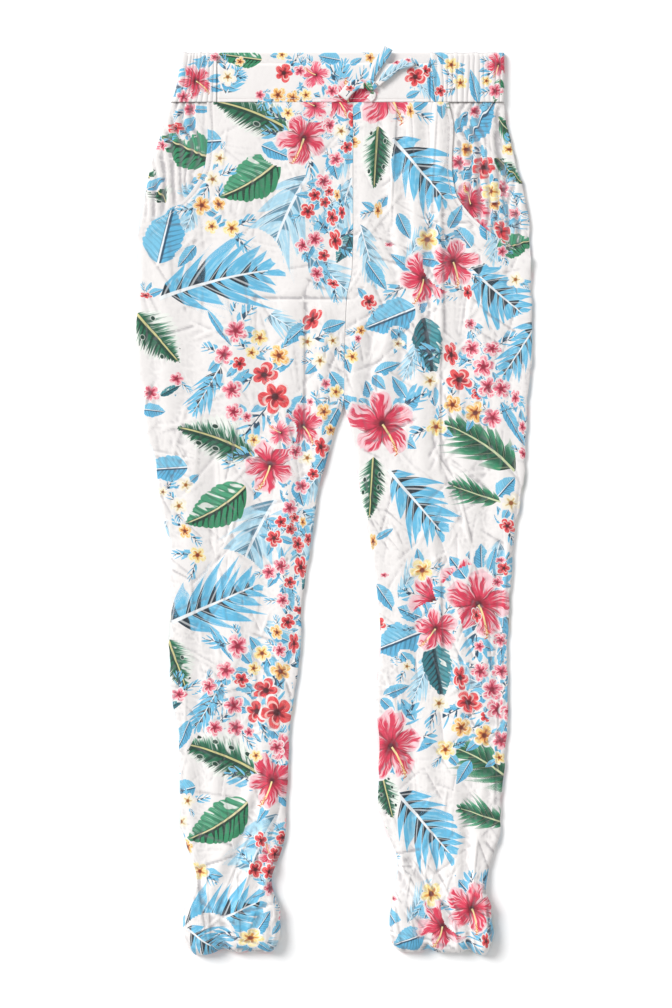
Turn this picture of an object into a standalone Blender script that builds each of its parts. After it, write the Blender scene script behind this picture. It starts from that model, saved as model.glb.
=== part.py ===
"""Cropped elastic-waist trousers of thin crinkled cloth, laid flat on their back.

The trousers lie on the XY plane with the waist toward +Y, the front up and the wearer's right
leg toward -X. Every piece is a cloth wall worked out from tables of sections and folds. The
tables give places on the laid-out garment in millimetres: `across` from the layout's left
border, and `down` from its upper border.
"""

import math
from collections import namedtuple

import bpy
import numpy as np

MM = 0.001
LAYOUT_CENTRE_ACROSS = 334.5
LAYOUT_CENTRE_DOWN = 500.5

# Cloth, in millimetres like everything below
PANEL_WALL = 1.5
POCKET_WALL = 1.2
BAND_WALL = 2.0
TIE_WALL = 1.2
SEAM_GAP = 0.3

# Levels of the laid-out garment above the surface that it lies on
SIDE_SEAM_LEVEL = 3.0
SIDE_ROUNDING = 6.0
HEM_ROUNDING = 9.0
LEAST_FRONT_LEVEL = 3.6
LEAST_POCKET_LEVEL = 5.1
HEM_TURN_CLEARANCE = 2.0
POCKET_REACH = 16.0
BAG_BOTTOM = 312.0
BAG_INSET = 9.0
BAG_STEP = 8.0
RIGHT_BAG_EDGE = 262.0
LEFT_BAG_EDGE = 404.0
# A bag's lower corners: how far above its bottom they start, and what they take off each edge
BAG_CORNER = 55.0
BAG_CORNER_SIDE = 30.0
BAG_CORNER_INNER = 34.0
MOUTH_ROWS = 8
BAG_ROWS = 5
# Where a bag feels for the front that lies over it
PROBES_ACROSS = 9
PROBES_DOWN = 5

# Turned-in hem
HEM_TURN_TOP = 897.0
HEM_TURN_BOTTOM = 941.0
HEM_TURN_INSET = 11.0
HEM_TURN_END_INSET = 16.0
# Distances from its middle row between which its inset grows
HEM_TURN_END_STARTS = 12.0
HEM_TURN_END_ENDS = 22.0
HEM_TURN_EDGE = 2.0
HEM_TURN_FULLNESS = 2.2
HEM_TURN_ROUNDNESS = (0.04, 0.96)
HEM_TURN_ROWS = 8
HEM_TURN_COLUMNS = 11
HEM_BULGE_STARTS = 915.0
HEM_END = 954.0

# Waistband
BACK_BAND_TOP = 53.0
FRONT_BAND_TOP = 64.0
BAND_SEAM = 103.0
BAND_RIGHT_SIDE = 171.0
BAND_LEFT_SIDE = 504.0
FRONT_BAND_RIGHT_SEAM = 217.0
FRONT_BAND_LEFT_SEAM = 430.0
BAND_LEVEL = 7.0
BAND_INSET_WIDTH = 7.0
GATHER_SPACING = 5.2
GATHER_HEIGHT = 1.3
# Steps of the elastic band's section: in one gather, round each side, across the back
GATHER_STEPS = 4
BAND_TURN_STEPS = 7
BAND_BACK_STEPS = 12
FLAP_TOP_DROP = 0.8
# The flat front band stands a little above the elastic one
FRONT_BAND_RISE = 0.2
FRONT_BAND_MIDDLE = 83.0
FRONT_BAND_COLUMNS = 10

# Legs
HEM_ARC_TOP = 943.5
# Rows between which the inner edge turns down to the inseam
DROP_STARTS = 392.0
DROP_ENDS = 424.0
# Distances below a pocket mouth between which the front's edge turns down to the side seam
MOUTH_DROP_STARTS = 4.0
MOUTH_DROP_ENDS = 22.0
BACK_SEAM_TOP = 337.0
CROTCH_ACROSS = 344.0
CROTCH_DOWN = 404.0
# Rows about the crotch that the backs keep all of
CLOSE_ROWS_MIDDLE = 410.0
CLOSE_ROWS_REACH = 22.0
EDGE_ARC_STEPS = 3
HEM_ARC_STEPS = 4
SHARP_EDGE = 50.0
ACROSS_SPANS = 12
BACK_ACROSS_SPANS = 5
POCKET_ACROSS_SPANS = 7

# Tie
TIE_KNOT_ACROSS = 371.0
TIE_KNOT_DOWN = 87.0
TIE_KNOT_SIZE = (12.0, 11.0, 6.0)
STRIP_POINTS = 8
STRIP_COLUMNS = 5
# A strip's width where it leaves the knot, and the share of its length that it widens over
STRIP_START = 0.55
STRIP_SPREAD = 0.4
END_FALL = 1.1
LOOP_TURN_STEPS = 6
KNOT_RINGS = 6
KNOT_SIDES = 12
KNOT_PINCH = 0.08
KNOT_WINDINGS = 3

Section = namedtuple("Section", "down side inner")
Level = namedtuple("Level", "down level")
RowSpan = namedtuple("RowSpan", "top bottom step")
Fold = namedtuple("Fold", "across down to_across to_down width height")
Mouth = namedtuple("Mouth", "across down")
Strip = namedtuple("Strip", "name path width rise looped")
Lobe = namedtuple("Lobe", "across width length")
Finish = namedtuple("Finish", "colour roughness")
Wave = namedtuple("Wave", "share pace")

# How the gathers' spacing and height vary along the band, and their height at its sewn edges
GATHER_DRIFT = (Wave(0.22, 0.31), Wave(0.15, 0.083))
GATHER_UNEVEN = Wave(0.28, 0.57)
GATHER_LEAN = 0.03
GATHER_END = 0.55
FOLD_FADE = 1.6

# How far the elastic draws in the wearer's right end of the band, more toward its upper edge
BAND_INSETS = (
    Level(53, 10.5),
    Level(63, 9.5),
    Level(91, 5.0),
    Level(103, 0.0),
)

RIGHT_SECTIONS = (
    Section(103, 171, 353),
    Section(130, 162, 353),
    Section(160, 152, 353),
    Section(190, 146, 353),
    Section(235, 138.5, 353),
    Section(270, 138, 352),
    Section(300, 137, 346.5),
    Section(355, 136, 344.5),
    Section(400, 144, 344),
    Section(430, 146, 335),
    Section(460, 155, 326.5),
    Section(505, 160.5, 316),
    Section(550, 170, 310),
    Section(600, 170, 302.5),
    Section(655, 169, 300),
    Section(700, 172, 294),
    Section(745, 179, 289),
    Section(820, 180, 286),
    Section(850, 188, 282),
    Section(878, 195.5, 272),
    Section(893, 190, 274),
    Section(912, 183.5, 281),
    Section(930, 183, 280.5),
    Section(945, 187, 276.5),
    Section(954, 196, 269),
)

LEFT_SECTIONS = (
    Section(103, 504, 353),
    Section(130, 508, 353),
    Section(160, 516, 353),
    Section(190, 524, 353),
    Section(235, 530.5, 353),
    Section(270, 531, 352),
    Section(300, 532, 346.5),
    Section(355, 533, 344.5),
    Section(400, 528, 344),
    Section(430, 526.5, 351),
    Section(460, 525.5, 356.5),
    Section(505, 520, 362),
    Section(550, 513, 371),
    Section(600, 510.5, 378),
    Section(640, 508, 380.5),
    Section(700, 508.5, 376),
    Section(745, 506, 379),
    Section(800, 502, 378),
    Section(830, 500.5, 387),
    Section(868, 489.5, 398),
    Section(890, 485.5, 393),
    Section(908, 491.5, 391),
    Section(930, 493, 389.5),
    Section(945, 490.5, 394),
    Section(954, 484, 403),
)

# Front edge of each pocket mouth, from the band seam to the side seam
RIGHT_MOUTH = (
    Mouth(207, 103),
    Mouth(208, 135),
    Mouth(205.5, 165),
    Mouth(193, 190),
    Mouth(170, 212),
    Mouth(139.5, 228),
)
LEFT_MOUTH = (
    Mouth(448, 103),
    Mouth(453, 128),
    Mouth(451.5, 165),
    Mouth(455, 192),
    Mouth(468, 213),
    Mouth(494, 236),
    Mouth(530.5, 256),
)

# Height of the front's outer face above the surface, before its folds
FRONT_LEVELS = (
    Level(103, 6.9),
    Level(150, 6.4),
    Level(250, 6.2),
    Level(340, 5.6),
    Level(460, 5.2),
    Level(700, 5.2),
    Level(820, 6.2),
    Level(872, 9.5),
    Level(905, 15.5),
    Level(930, 17.0),
    Level(954, 15.0),
)

ROW_SPANS = (
    RowSpan(103, 169, 16.5),
    RowSpan(169, 285, 11.6),
    RowSpan(285, 392, 26.8),
    RowSpan(392, 424, 10.7),
    RowSpan(424, 844, 28.0),
    RowSpan(844, 945, 9.2),
)

# Raised folds have a positive height, and troughs a negative one
FOLDS = (
    # across the hips, wearer's right
    Fold(298, 112, 292, 285, 17, 1.2),
    Fold(330, 125, 326, 290, 9, -0.9),
    Fold(240, 150, 224, 330, 20, 1.4),
    Fold(206, 245, 188, 400, 12, -1.0),
    Fold(164, 255, 168, 425, 13, 1.6),
    Fold(256, 299, 344, 300, 4, -1.1),
    Fold(304, 300, 301, 495, 5, -1.3),
    Fold(287, 310, 280, 520, 11, 1.6),
    Fold(324, 312, 319, 470, 9, 1.7),
    Fold(262, 335, 254, 560, 9, -1.1),
    Fold(236, 345, 226, 480, 10, 1.3),
    Fold(152, 330, 160, 460, 7, -0.9),
    Fold(345, 150, 345, 280, 5, -0.7),
    # down the wearer's right leg
    Fold(193, 420, 188, 610, 10, 1.9),
    Fold(214, 440, 210, 650, 7, -1.3),
    Fold(240, 490, 230, 700, 10, 2.0),
    Fold(264, 560, 254, 725, 7, -1.2),
    Fold(287, 500, 276, 700, 8, 1.9),
    Fold(178, 560, 186, 720, 7, 1.1),
    Fold(196, 640, 202, 790, 6, -1.1),
    Fold(212, 690, 218, 850, 8, 1.9),
    Fold(238, 700, 240, 820, 6, -1.2),
    Fold(262, 720, 268, 850, 8, 2.0),
    Fold(188, 770, 196, 880, 6, 1.6),
    Fold(276, 786, 240, 905, 7, 3.0),
    Fold(264, 775, 226, 893, 5, -1.8),
    Fold(247, 800, 210, 890, 7, 2.6),
    Fold(284, 845, 256, 930, 5, -2.2),
    Fold(270, 868, 262, 935, 6, 2.6),
    Fold(196, 872, 222, 948, 5, -2.6),
    Fold(190, 900, 206, 948, 7, 2.4),
    Fold(222, 902, 226, 952, 5, -3.2),
    Fold(240, 915, 266, 936, 9, 2.4),
    # across the hips, wearer's left
    Fold(366, 112, 364, 290, 8, 1.1),
    Fold(375, 106, 386, 219, 6, -1.2),
    Fold(386, 219, 399, 300, 6, -1.2),
    Fold(387, 112, 401, 285, 6, 1.5),
    Fold(398, 120, 408, 230, 6, -0.8),
    Fold(412, 110, 417, 300, 8, 2.0),
    Fold(427, 118, 426, 330, 6, -1.4),
    Fold(440, 106, 437, 350, 7, 2.1),
    Fold(464, 108, 463, 168, 4, 1.3),
    Fold(472, 118, 480, 195, 3.5, -1.1),
    Fold(487, 108, 495, 208, 5, 1.5),
    Fold(499, 140, 508, 222, 4, -1.3),
    Fold(516, 140, 522, 240, 6, 1.2),
    Fold(456, 215, 461, 350, 6, -1.2),
    Fold(482, 235, 484, 400, 11, 1.6),
    Fold(509, 240, 508, 390, 6, -1.2),
    Fold(357, 330, 352, 402, 6, 1.6),
    Fold(370, 322, 367, 405, 5, -1.4),
    Fold(386, 335, 381, 425, 7, 1.7),
    Fold(401, 330, 398, 430, 5, -1.1),
    # down the wearer's left leg
    Fold(417, 345, 424, 540, 9, 1.7),
    Fold(437, 375, 437, 440, 5, -1.7),
    Fold(437, 440, 460, 516, 5, -1.9),
    Fold(452, 385, 470, 500, 8, 1.8),
    Fold(498, 400, 505, 560, 7, 1.6),
    Fold(482, 430, 486, 590, 6, -1.2),
    Fold(396, 475, 402, 660, 9, 1.8),
    Fold(420, 560, 412, 700, 6, -1.2),
    Fold(433, 530, 437, 640, 5, 1.5),
    Fold(462, 560, 458, 730, 9, 1.9),
    Fold(444, 640, 440, 760, 5, -1.1),
    Fold(500, 545, 496, 720, 5, -1.8),
    Fold(484, 600, 480, 760, 7, 1.5),
    Fold(394, 690, 402, 850, 8, 1.9),
    Fold(424, 720, 428, 850, 8, 1.4),
    Fold(410, 740, 414, 850, 5, -1.2),
    Fold(452, 770, 458, 870, 7, 1.6),
    Fold(468, 800, 463, 890, 5, -1.9),
    Fold(482, 790, 472, 885, 6, 2.0),
    Fold(431, 836, 450, 932, 4, -2.3),
    Fold(400, 860, 438, 926, 6, 2.8),
    Fold(410, 860, 450, 915, 4, -1.9),
    Fold(396, 900, 410, 946, 6, 2.2),
    Fold(420, 920, 428, 952, 5, -2.6),
    Fold(442, 915, 458, 944, 7, 2.2),
    Fold(480, 893, 486, 902, 7, 3.6),
    Fold(468, 915, 470, 950, 4, -2.8),
    Fold(482, 920, 482, 946, 6, 2.2),
)

# How far the flat front band's outer face falls below its highest level, row by row
FRONT_BAND_FALLS = (
    Level(FRONT_BAND_TOP, 1.1),
    Level(FRONT_BAND_TOP + 0.35, 0.5),
    Level(FRONT_BAND_TOP + 1.2, 0.15),
    Level(FRONT_BAND_TOP + 2.6, 0.0),
    Level(FRONT_BAND_MIDDLE, 0.0),
    Level(BAND_SEAM, 0.1),
)

# How far the hem's lower edge bulges past the last section, and dips between the bulges
HEM_LOBES = (
    Lobe(200, 13, 2.0),
    Lobe(224, 8, -4.5),
    Lobe(256, 16, -1.5),
    Lobe(408, 12, -1.5),
    Lobe(428, 7, -4.5),
    Lobe(448, 12, -0.5),
    Lobe(468, 6, -3.5),
    Lobe(482, 9, 2.0),
)

TIE_STRIPS = (
    Strip("tie_loop_left", ((377.5, 86.0), (387, 76), (398, 67), (411, 63.5)), 9.0, 3.6, True),
    Strip("tie_loop_right", ((364.5, 87.5), (357, 86), (350, 90), (344, 97)), 10.5, 3.8, True),
    Strip("tie_end_up", ((371.5, 80.8), (376, 68), (383, 58), (388, 49)), 10.0, 1.6, False),
    Strip("tie_end_down", ((371.5, 93.0), (373, 95), (372, 98), (369, 101)), 6.5, 0.5, False),
)

FINISHES = {
    "front": Finish((0.80, 0.77, 0.75), 0.85),
    "back": Finish((0.72, 0.73, 0.74), 0.85),
    "band": Finish((0.60, 0.74, 0.80), 0.85),
    "pocket": Finish((0.70, 0.40, 0.42), 0.85),
    "tie": Finish((0.86, 0.84, 0.82), 0.85),
    "hem": Finish((0.45, 0.62, 0.52), 0.85),
}


def clear_scene():
    for existing in list(bpy.data.objects):
        bpy.data.objects.remove(existing)


def smoothstep(value, start, end):
    part = np.clip((np.asarray(value, float) - start) / (end - start), 0.0, 1.0)
    return part * part * (3.0 - 2.0 * part)


def level_slopes(known, values):
    """Slopes of a curve through the values that never swings past them."""
    steps = np.diff(values) / np.diff(known)
    before, after = steps[:-1], steps[1:]
    same_way = before * after > 0
    middle = np.where(same_way, 2 * before * after / np.where(same_way, before + after, 1.0), 0.0)
    return np.concatenate([steps[:1], middle, steps[-1:]])


def read_table(table, column, at):
    """A column of a table, read at distances `down` with a smooth curve through its rows."""
    known = np.array([row.down for row in table], float)
    values = np.array([getattr(row, column) for row in table], float)
    slopes = level_slopes(known, values)
    at = np.clip(np.asarray(at, float), known[0], known[-1])
    low = np.clip(np.searchsorted(known, at) - 1, 0, len(known) - 2)
    span = known[low + 1] - known[low]
    part = (at - known[low]) / span
    start = (1 + 2 * part) * (1 - part) ** 2 * values[low] + part * (1 - part) ** 2 * span * slopes[low]
    end = part**2 * (3 - 2 * part) * values[low + 1] + part**2 * (part - 1) * span * slopes[low + 1]
    return start + end


def fold_height(across, down):
    """The sum of the folds: each is a soft ridge or trough along its line, faded at its ends."""
    total = np.zeros_like(across)
    for fold in FOLDS:
        run = np.array([fold.to_across - fold.across, fold.to_down - fold.down], float)
        length = math.hypot(*run)
        run /= length
        away = np.stack([across - fold.across, down - fold.down], axis=-1)
        along = away @ run
        off = away[..., 0] * run[1] - away[..., 1] * run[0]
        past_end = np.maximum(np.maximum(-along, along - length), 0.0)
        fade = np.exp(-((past_end / (FOLD_FADE * fold.width)) ** 2))
        total += fold.height * fade * np.exp(-((off / fold.width) ** 2))
    return total


def front_level(across, down):
    """Height of the front's outer face, never so low that it would enter what lies under it."""
    across, down = np.broadcast_arrays(np.asarray(across, float), np.asarray(down, float))
    level = read_table(FRONT_LEVELS, "level", down) + fold_height(across, down)
    pocket_part = 1.0 - smoothstep(down, BAG_BOTTOM + POCKET_REACH, BAG_BOTTOM + 2 * POCKET_REACH)
    least = LEAST_FRONT_LEVEL + (LEAST_POCKET_LEVEL - LEAST_FRONT_LEVEL) * pocket_part
    return np.maximum(level, least)


def hem_bulge(across, down):
    """Distance that the hem's lobes add to `down` near the hem."""
    reach = smoothstep(down, HEM_BULGE_STARTS, HEM_END)
    lobes = sum(
        lobe.length * np.exp(-(((across - lobe.across) / lobe.width) ** 2)) for lobe in HEM_LOBES
    )
    return reach * lobes


def row_distances():
    """Rows from the band seam to the hem, close together where the cloth is ruched."""
    rows = []
    for span in ROW_SPANS:
        count = max(1, round((span.bottom - span.top) / span.step))
        rows.extend(np.linspace(span.top, span.bottom, count, endpoint=False))
    rows[0] = BAND_SEAM + SEAM_GAP
    return np.array(rows)


def to_world(across, down, level):
    """Points in metres from places on the layout and heights, all in millimetres."""
    across, down, level = np.broadcast_arrays(across, down, level)
    return np.stack(
        [
            (across - LAYOUT_CENTRE_ACROSS) * MM,
            (LAYOUT_CENTRE_DOWN - down) * MM,
            level * MM,
        ],
        axis=-1,
    )


def material(kind):
    name = "cloth_" + kind
    if name in bpy.data.materials:
        return bpy.data.materials[name]
    made = bpy.data.materials.new(name)
    made.use_nodes = True
    shader = made.node_tree.nodes["Principled BSDF"]
    finish = FINISHES[kind]
    shader.inputs["Base Color"].default_value = (*finish.colour, 1.0)
    shader.inputs["Roughness"].default_value = finish.roughness
    shader.inputs["Metallic"].default_value = 0.0
    return made


def add_object(name, points, faces, kind):
    mesh = bpy.data.meshes.new(name)
    mesh.from_pydata([tuple(point) for point in points], [], faces)
    mesh.materials.append(material(kind))
    mesh.shade_smooth()
    mesh.set_sharp_from_angle(angle=math.radians(SHARP_EDGE))
    made = bpy.data.objects.new(name, mesh)
    bpy.context.scene.collection.objects.link(made)
    return made


def cloth_wall(name, outer, inner, kind):
    """A closed wall between two grids of points, whose rows run down and columns across."""
    rows, columns = outer.shape[:2]
    first_inner = rows * columns

    def at(row, column, side):
        return side * first_inner + row * columns + column

    faces = []
    for row in range(rows - 1):
        for column in range(columns - 1):
            faces.append(tuple(at(row + r, column + c, 0) for r, c in ((0, 0), (1, 0), (1, 1), (0, 1))))
            faces.append(tuple(at(row + r, column + c, 1) for r, c in ((0, 0), (0, 1), (1, 1), (1, 0))))
    border = [(0, column) for column in range(columns)]
    border += [(row, columns - 1) for row in range(1, rows)]
    border += [(rows - 1, column) for column in range(columns - 2, -1, -1)]
    border += [(row, 0) for row in range(rows - 2, 0, -1)]
    for here, there in zip(border, border[1:] + border[:1]):
        faces.append((at(*here, 0), at(*there, 0), at(*there, 1), at(*here, 1)))
    points = np.concatenate([outer.reshape(-1, 3), inner.reshape(-1, 3)])
    if outward_volume(points, faces) < 0:
        faces = [face[::-1] for face in faces]
    return add_object(name, points, faces, kind)


def outward_volume(points, faces):
    """Six times the volume that the faces enclose, negative when they face inwards."""
    total = 0.0
    for face in faces:
        for second, third in zip(face[1:-1], face[2:]):
            total += np.dot(points[face[0]], np.cross(points[second], points[third]))
    return total


def edge_columns(spans):
    """Columns across a panel: (share of its flat part, angle at its first edge, at its last)."""
    quarter = math.pi / 2
    arc = [quarter * step / EDGE_ARC_STEPS for step in range(EDGE_ARC_STEPS)]
    columns = [(0.0, angle, quarter) for angle in arc]
    columns += [(span / spans, quarter, quarter) for span in range(spans + 1)]
    columns += [(1.0, quarter, angle) for angle in reversed(arc)]
    return np.array(columns)


def panel_layout(downs, side, inner, spans):
    """Places of a panel's points: across, down, the rounding angles at its edges and its hem."""
    columns = edge_columns(spans)
    direction = np.sign(inner - side)[:, None]
    reach = SIDE_ROUNDING * direction
    start = side[:, None] + reach
    end = inner[:, None] - reach
    share, first, last = columns.T
    across = start + (end - start) * share
    across = across - reach * np.cos(first) + reach * np.cos(last)
    down = np.repeat(downs[:, None], len(columns), axis=1)
    first = np.repeat(first[None, :], len(downs), axis=0)
    last = np.repeat(last[None, :], len(downs), axis=0)
    return across, down, first, last, direction


def with_hem_rows(downs):
    """The rows, with those of the rounded hem, and each row's rounding angle there."""
    quarter = math.pi / 2
    angles = [quarter * step / HEM_ARC_STEPS for step in range(HEM_ARC_STEPS, -1, -1)]
    arc = [HEM_ARC_TOP + HEM_ROUNDING * math.cos(angle) for angle in angles]
    return np.append(downs, arc), np.append(np.full(len(downs), quarter), angles)


def mouth_edge(downs, mouth, side):
    """Side edge of a front panel: the pocket mouth's edge down to the side seam, then the seam."""
    return np.where(downs <= mouth[-1].down, read_table(mouth, "across", downs), side)


def inward(first, last, hem, direction, drop_first, drop_last):
    """Unit vectors from the outer face into the cloth, level at the rounded edges."""
    into_across = direction * (np.cos(first) * drop_first - np.cos(last) * drop_last)
    into_down = -np.cos(hem)
    sink = 1.0 - np.maximum(
        np.maximum((1 - np.sin(first)) * drop_first, (1 - np.sin(last)) * drop_last),
        1 - np.sin(hem),
    )
    vectors = np.stack(np.broadcast_arrays(into_across, into_down, -sink), axis=-1)
    return vectors / np.linalg.norm(vectors, axis=-1, keepdims=True)


def build_front(name, sections, mouth, seam_side):
    """A front panel: cut away at its pocket mouth, and rounded down at its seams and hem."""
    downs, hem = with_hem_rows(row_distances())
    side = mouth_edge(downs, mouth, read_table(sections, "side", downs))
    inner = read_table(sections, "inner", downs) + seam_side * SEAM_GAP / 2
    across, down, first, last, direction = panel_layout(downs, side, inner, ACROSS_SPANS)
    hem = np.repeat(hem[:, None], across.shape[1], axis=1)
    mouth_end = mouth[-1].down
    drop_first = smoothstep(down, mouth_end + MOUTH_DROP_STARTS, mouth_end + MOUTH_DROP_ENDS)
    drop_last = smoothstep(down, DROP_STARTS, DROP_ENDS)
    top = front_level(across, down)
    seam = SIDE_SEAM_LEVEL + SEAM_GAP / 2
    sunk = 1 - (1 - drop_first * (1 - np.sin(first))) * (1 - drop_last * (1 - np.sin(last))) * np.sin(hem)
    level = top - (top - seam) * sunk
    down = down + hem_bulge(across, down)
    into = inward(first, last, hem, direction, drop_first, drop_last)
    outer = to_world(across, down, level)
    inner_face = to_world(
        across + PANEL_WALL * into[..., 0],
        down + PANEL_WALL * into[..., 1],
        level + PANEL_WALL * into[..., 2],
    )
    return cloth_wall(name, outer, inner_face, "front")


def back_inner(sections, downs, seam_side):
    """Inner edge of a back panel: the centre-back seam down to the crotch, then the inseam."""
    seam = np.interp(downs, (BAND_SEAM, CROTCH_DOWN), (BACK_SEAM_TOP, CROTCH_ACROSS))
    inseam = read_table(sections, "inner", downs)
    return np.where(downs < CROTCH_DOWN, seam, inseam) + seam_side * SEAM_GAP / 2


def build_back(name, sections, seam_side):
    """A back panel: flat where it rests, its edges turned up to meet the front's."""
    rows = row_distances()
    keep = (np.arange(len(rows)) % 2 == 0) | (np.abs(rows - CLOSE_ROWS_MIDDLE) < CLOSE_ROWS_REACH)
    downs, hem = with_hem_rows(rows[keep])
    side = read_table(sections, "side", downs)
    inner = back_inner(sections, downs, seam_side)
    across, down, first, last, direction = panel_layout(downs, side, inner, BACK_ACROSS_SPANS)
    hem = np.repeat(hem[:, None], across.shape[1], axis=1)
    drop_first = np.ones_like(down)
    drop_last = smoothstep(down, DROP_STARTS, DROP_ENDS)
    seam = SIDE_SEAM_LEVEL - SEAM_GAP / 2
    flat = (1 - drop_first * (1 - np.sin(first))) * (1 - drop_last * (1 - np.sin(last))) * np.sin(hem)
    level = seam * (1 - flat)
    down = down + hem_bulge(across, down)
    into = inward(first, last, hem, direction, drop_first, drop_last)
    outer = to_world(across, down, level)
    upper = to_world(
        across + PANEL_WALL * into[..., 0],
        down + PANEL_WALL * into[..., 1],
        level - PANEL_WALL * into[..., 2],
    )
    return cloth_wall(name, outer, upper, "back")


def level_under_front(across, down, mouth, toward_bag):
    """Height of the front's outer face, or of its lowest point close by where it covers a place."""
    lowest = front_level(across, down)
    for step_across in np.linspace(-POCKET_REACH, POCKET_REACH, PROBES_ACROSS):
        for step_down in np.linspace(-POCKET_REACH, POCKET_REACH, PROBES_DOWN):
            near_across, near_down = across + step_across, down + step_down
            edge = read_table(mouth, "across", near_down)
            covered = (near_down > mouth[-1].down) | ((near_across - edge) * toward_bag > -POCKET_REACH / 2)
            lowest = np.where(covered, np.minimum(lowest, front_level(near_across, near_down)), lowest)
    return lowest


def build_pocket(name, sections, mouth, bag_edge):
    """Facing and bag of a pocket, made from the front's points moved in by its wall and a gap."""
    downs = np.concatenate(
        [
            np.linspace(BAND_SEAM + SEAM_GAP, mouth[-1].down, MOUTH_ROWS),
            np.linspace(mouth[-1].down + BAG_STEP, BAG_BOTTOM, BAG_ROWS),
        ]
    )
    side = read_table(sections, "side", downs)
    toward_bag = math.copysign(1.0, bag_edge - side[0])
    corner = smoothstep(downs, BAG_BOTTOM - BAG_CORNER, BAG_BOTTOM)
    inset = BAG_INSET * smoothstep(downs, mouth[-1].down, mouth[-1].down + BAG_STEP)
    side = side + toward_bag * (inset + BAG_CORNER_SIDE * corner)
    inner = np.full(len(downs), bag_edge) - toward_bag * BAG_CORNER_INNER * corner
    across, down, first, last, direction = panel_layout(downs, side, inner, POCKET_ACROSS_SPANS)
    drop_first = np.ones_like(down)
    drop_last = np.zeros_like(down)
    hem = np.full_like(down, math.pi / 2)
    top = level_under_front(across, down, mouth, toward_bag) - PANEL_WALL - SEAM_GAP
    seam = SIDE_SEAM_LEVEL + SEAM_GAP / 2
    level = top - (top - seam) * drop_first * (1 - np.sin(first))
    into = inward(first, last, hem, direction, drop_first, drop_last)
    outer = to_world(across, down, level)
    under = to_world(
        across + POCKET_WALL * into[..., 0],
        down + POCKET_WALL * into[..., 1],
        level + POCKET_WALL * into[..., 2],
    )
    return cloth_wall(name, outer, under, "pocket")


def build_hem_turn(name, sections):
    """The turned-in hem: its hidden layers as one rounded solid inside the leg's end."""
    downs = np.linspace(HEM_TURN_TOP, HEM_TURN_BOTTOM, HEM_TURN_ROWS)
    from_middle = np.abs(downs - (HEM_TURN_TOP + HEM_TURN_BOTTOM) / 2)
    ends = smoothstep(from_middle, HEM_TURN_END_STARTS, HEM_TURN_END_ENDS)
    inset = HEM_TURN_INSET + (HEM_TURN_END_INSET - HEM_TURN_INSET) * ends
    side = read_table(sections, "side", downs)
    inner = read_table(sections, "inner", downs)
    direction = np.sign(inner - side)
    start = side + direction * inset
    end = inner - direction * inset
    share = np.linspace(0.0, 1.0, HEM_TURN_COLUMNS)
    across = start[:, None] + (end - start)[:, None] * share
    down = np.repeat(downs[:, None], len(share), axis=1)
    along = np.sin(math.pi * np.linspace(*HEM_TURN_ROUNDNESS, len(downs)))
    dome = np.sin(math.pi * share)[None, :] * along[:, None]
    floor = PANEL_WALL + SEAM_GAP
    top = front_level(across, down) - PANEL_WALL - HEM_TURN_CLEARANCE
    edge = floor + HEM_TURN_EDGE
    level = edge + (top - edge) * np.clip(HEM_TURN_FULLNESS * dome, 0.0, 1.0)
    outer = to_world(across, down, level)
    under = to_world(across, down, np.full_like(across, floor))
    return cloth_wall(name, outer, under, "hem")


def gather_wave(across, down):
    """Gathers of the elastic: ridges up and down the band, softer at its sewn edge."""
    drift = sum(wave.share * np.sin(across * wave.pace) for wave in GATHER_DRIFT)
    phase = across / GATHER_SPACING + drift
    uneven = 1 - GATHER_UNEVEN.share * (1 - np.sin(across * GATHER_UNEVEN.pace + down * GATHER_LEAN))
    middle = np.sin(math.pi * smoothstep(down, BACK_BAND_TOP, BAND_SEAM))
    ends = GATHER_END + (1 - GATHER_END) * middle
    return GATHER_HEIGHT * uneven * ends * 0.5 * (1 + np.cos(2 * math.pi * phase))


def band_path():
    """Section of the elastic band: the wearer's left flap, the left side, the back, the right."""
    radius = BAND_LEVEL / 2
    turn_left = BAND_LEFT_SIDE - radius
    turn_right = BAND_RIGHT_SIDE + radius
    step = GATHER_SPACING / GATHER_STEPS
    left_flap = np.arange(FRONT_BAND_LEFT_SEAM + SEAM_GAP / 2, turn_left - step / 2, step)
    right_flap = np.arange(FRONT_BAND_RIGHT_SEAM - SEAM_GAP / 2, turn_right + step / 2, -step)[::-1]
    angles = np.linspace(math.pi / 2, -math.pi / 2, BAND_TURN_STEPS)
    back_run = np.linspace(turn_left, turn_right, BAND_BACK_STEPS)[1:-1]
    path = [(across, BAND_LEVEL, 0.0, -1.0, 1.0) for across in left_flap]
    path += [
        (turn_left + radius * math.cos(a), radius + radius * math.sin(a), -math.cos(a), -math.sin(a), 0.0)
        for a in angles
    ]
    path += [(across, 0.0, 0.0, 1.0, 0.0) for across in back_run]
    path += [
        (turn_right - radius * math.cos(a), radius + radius * math.sin(a), math.cos(a), -math.sin(a), 0.0)
        for a in angles[::-1]
    ]
    path += [(across, BAND_LEVEL, 0.0, -1.0, 1.0) for across in right_flap]
    return np.array(path)


def drawn_in(across, down):
    """Distance that the band's right end is drawn in, none at its seam with the front piece."""
    ends = (BAND_RIGHT_SIDE + BAND_INSET_WIDTH, FRONT_BAND_RIGHT_SEAM)
    return read_table(BAND_INSETS, "level", down) * np.interp(across, ends, (1.0, 0.0))


def build_band_back():
    """The elasticated band: flat under the garment, gathered over both sides to the front."""
    across, level, into_across, into_level, gathered = band_path().T
    downs = np.array([row.down for row in BAND_INSETS], float)
    across, down = np.meshgrid(across, downs)
    inset = drawn_in(across, down)
    flap_top = BACK_BAND_TOP + gathered * FLAP_TOP_DROP
    down = np.where(down == BACK_BAND_TOP, flap_top, down)
    raised = level + gathered * gather_wave(across, down)
    outer = to_world(across + inset, down, raised)
    inner = to_world(
        across + inset + BAND_WALL * into_across,
        down,
        level + BAND_WALL * into_level,
    )
    return cloth_wall("band_back", outer, inner, "band")


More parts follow.
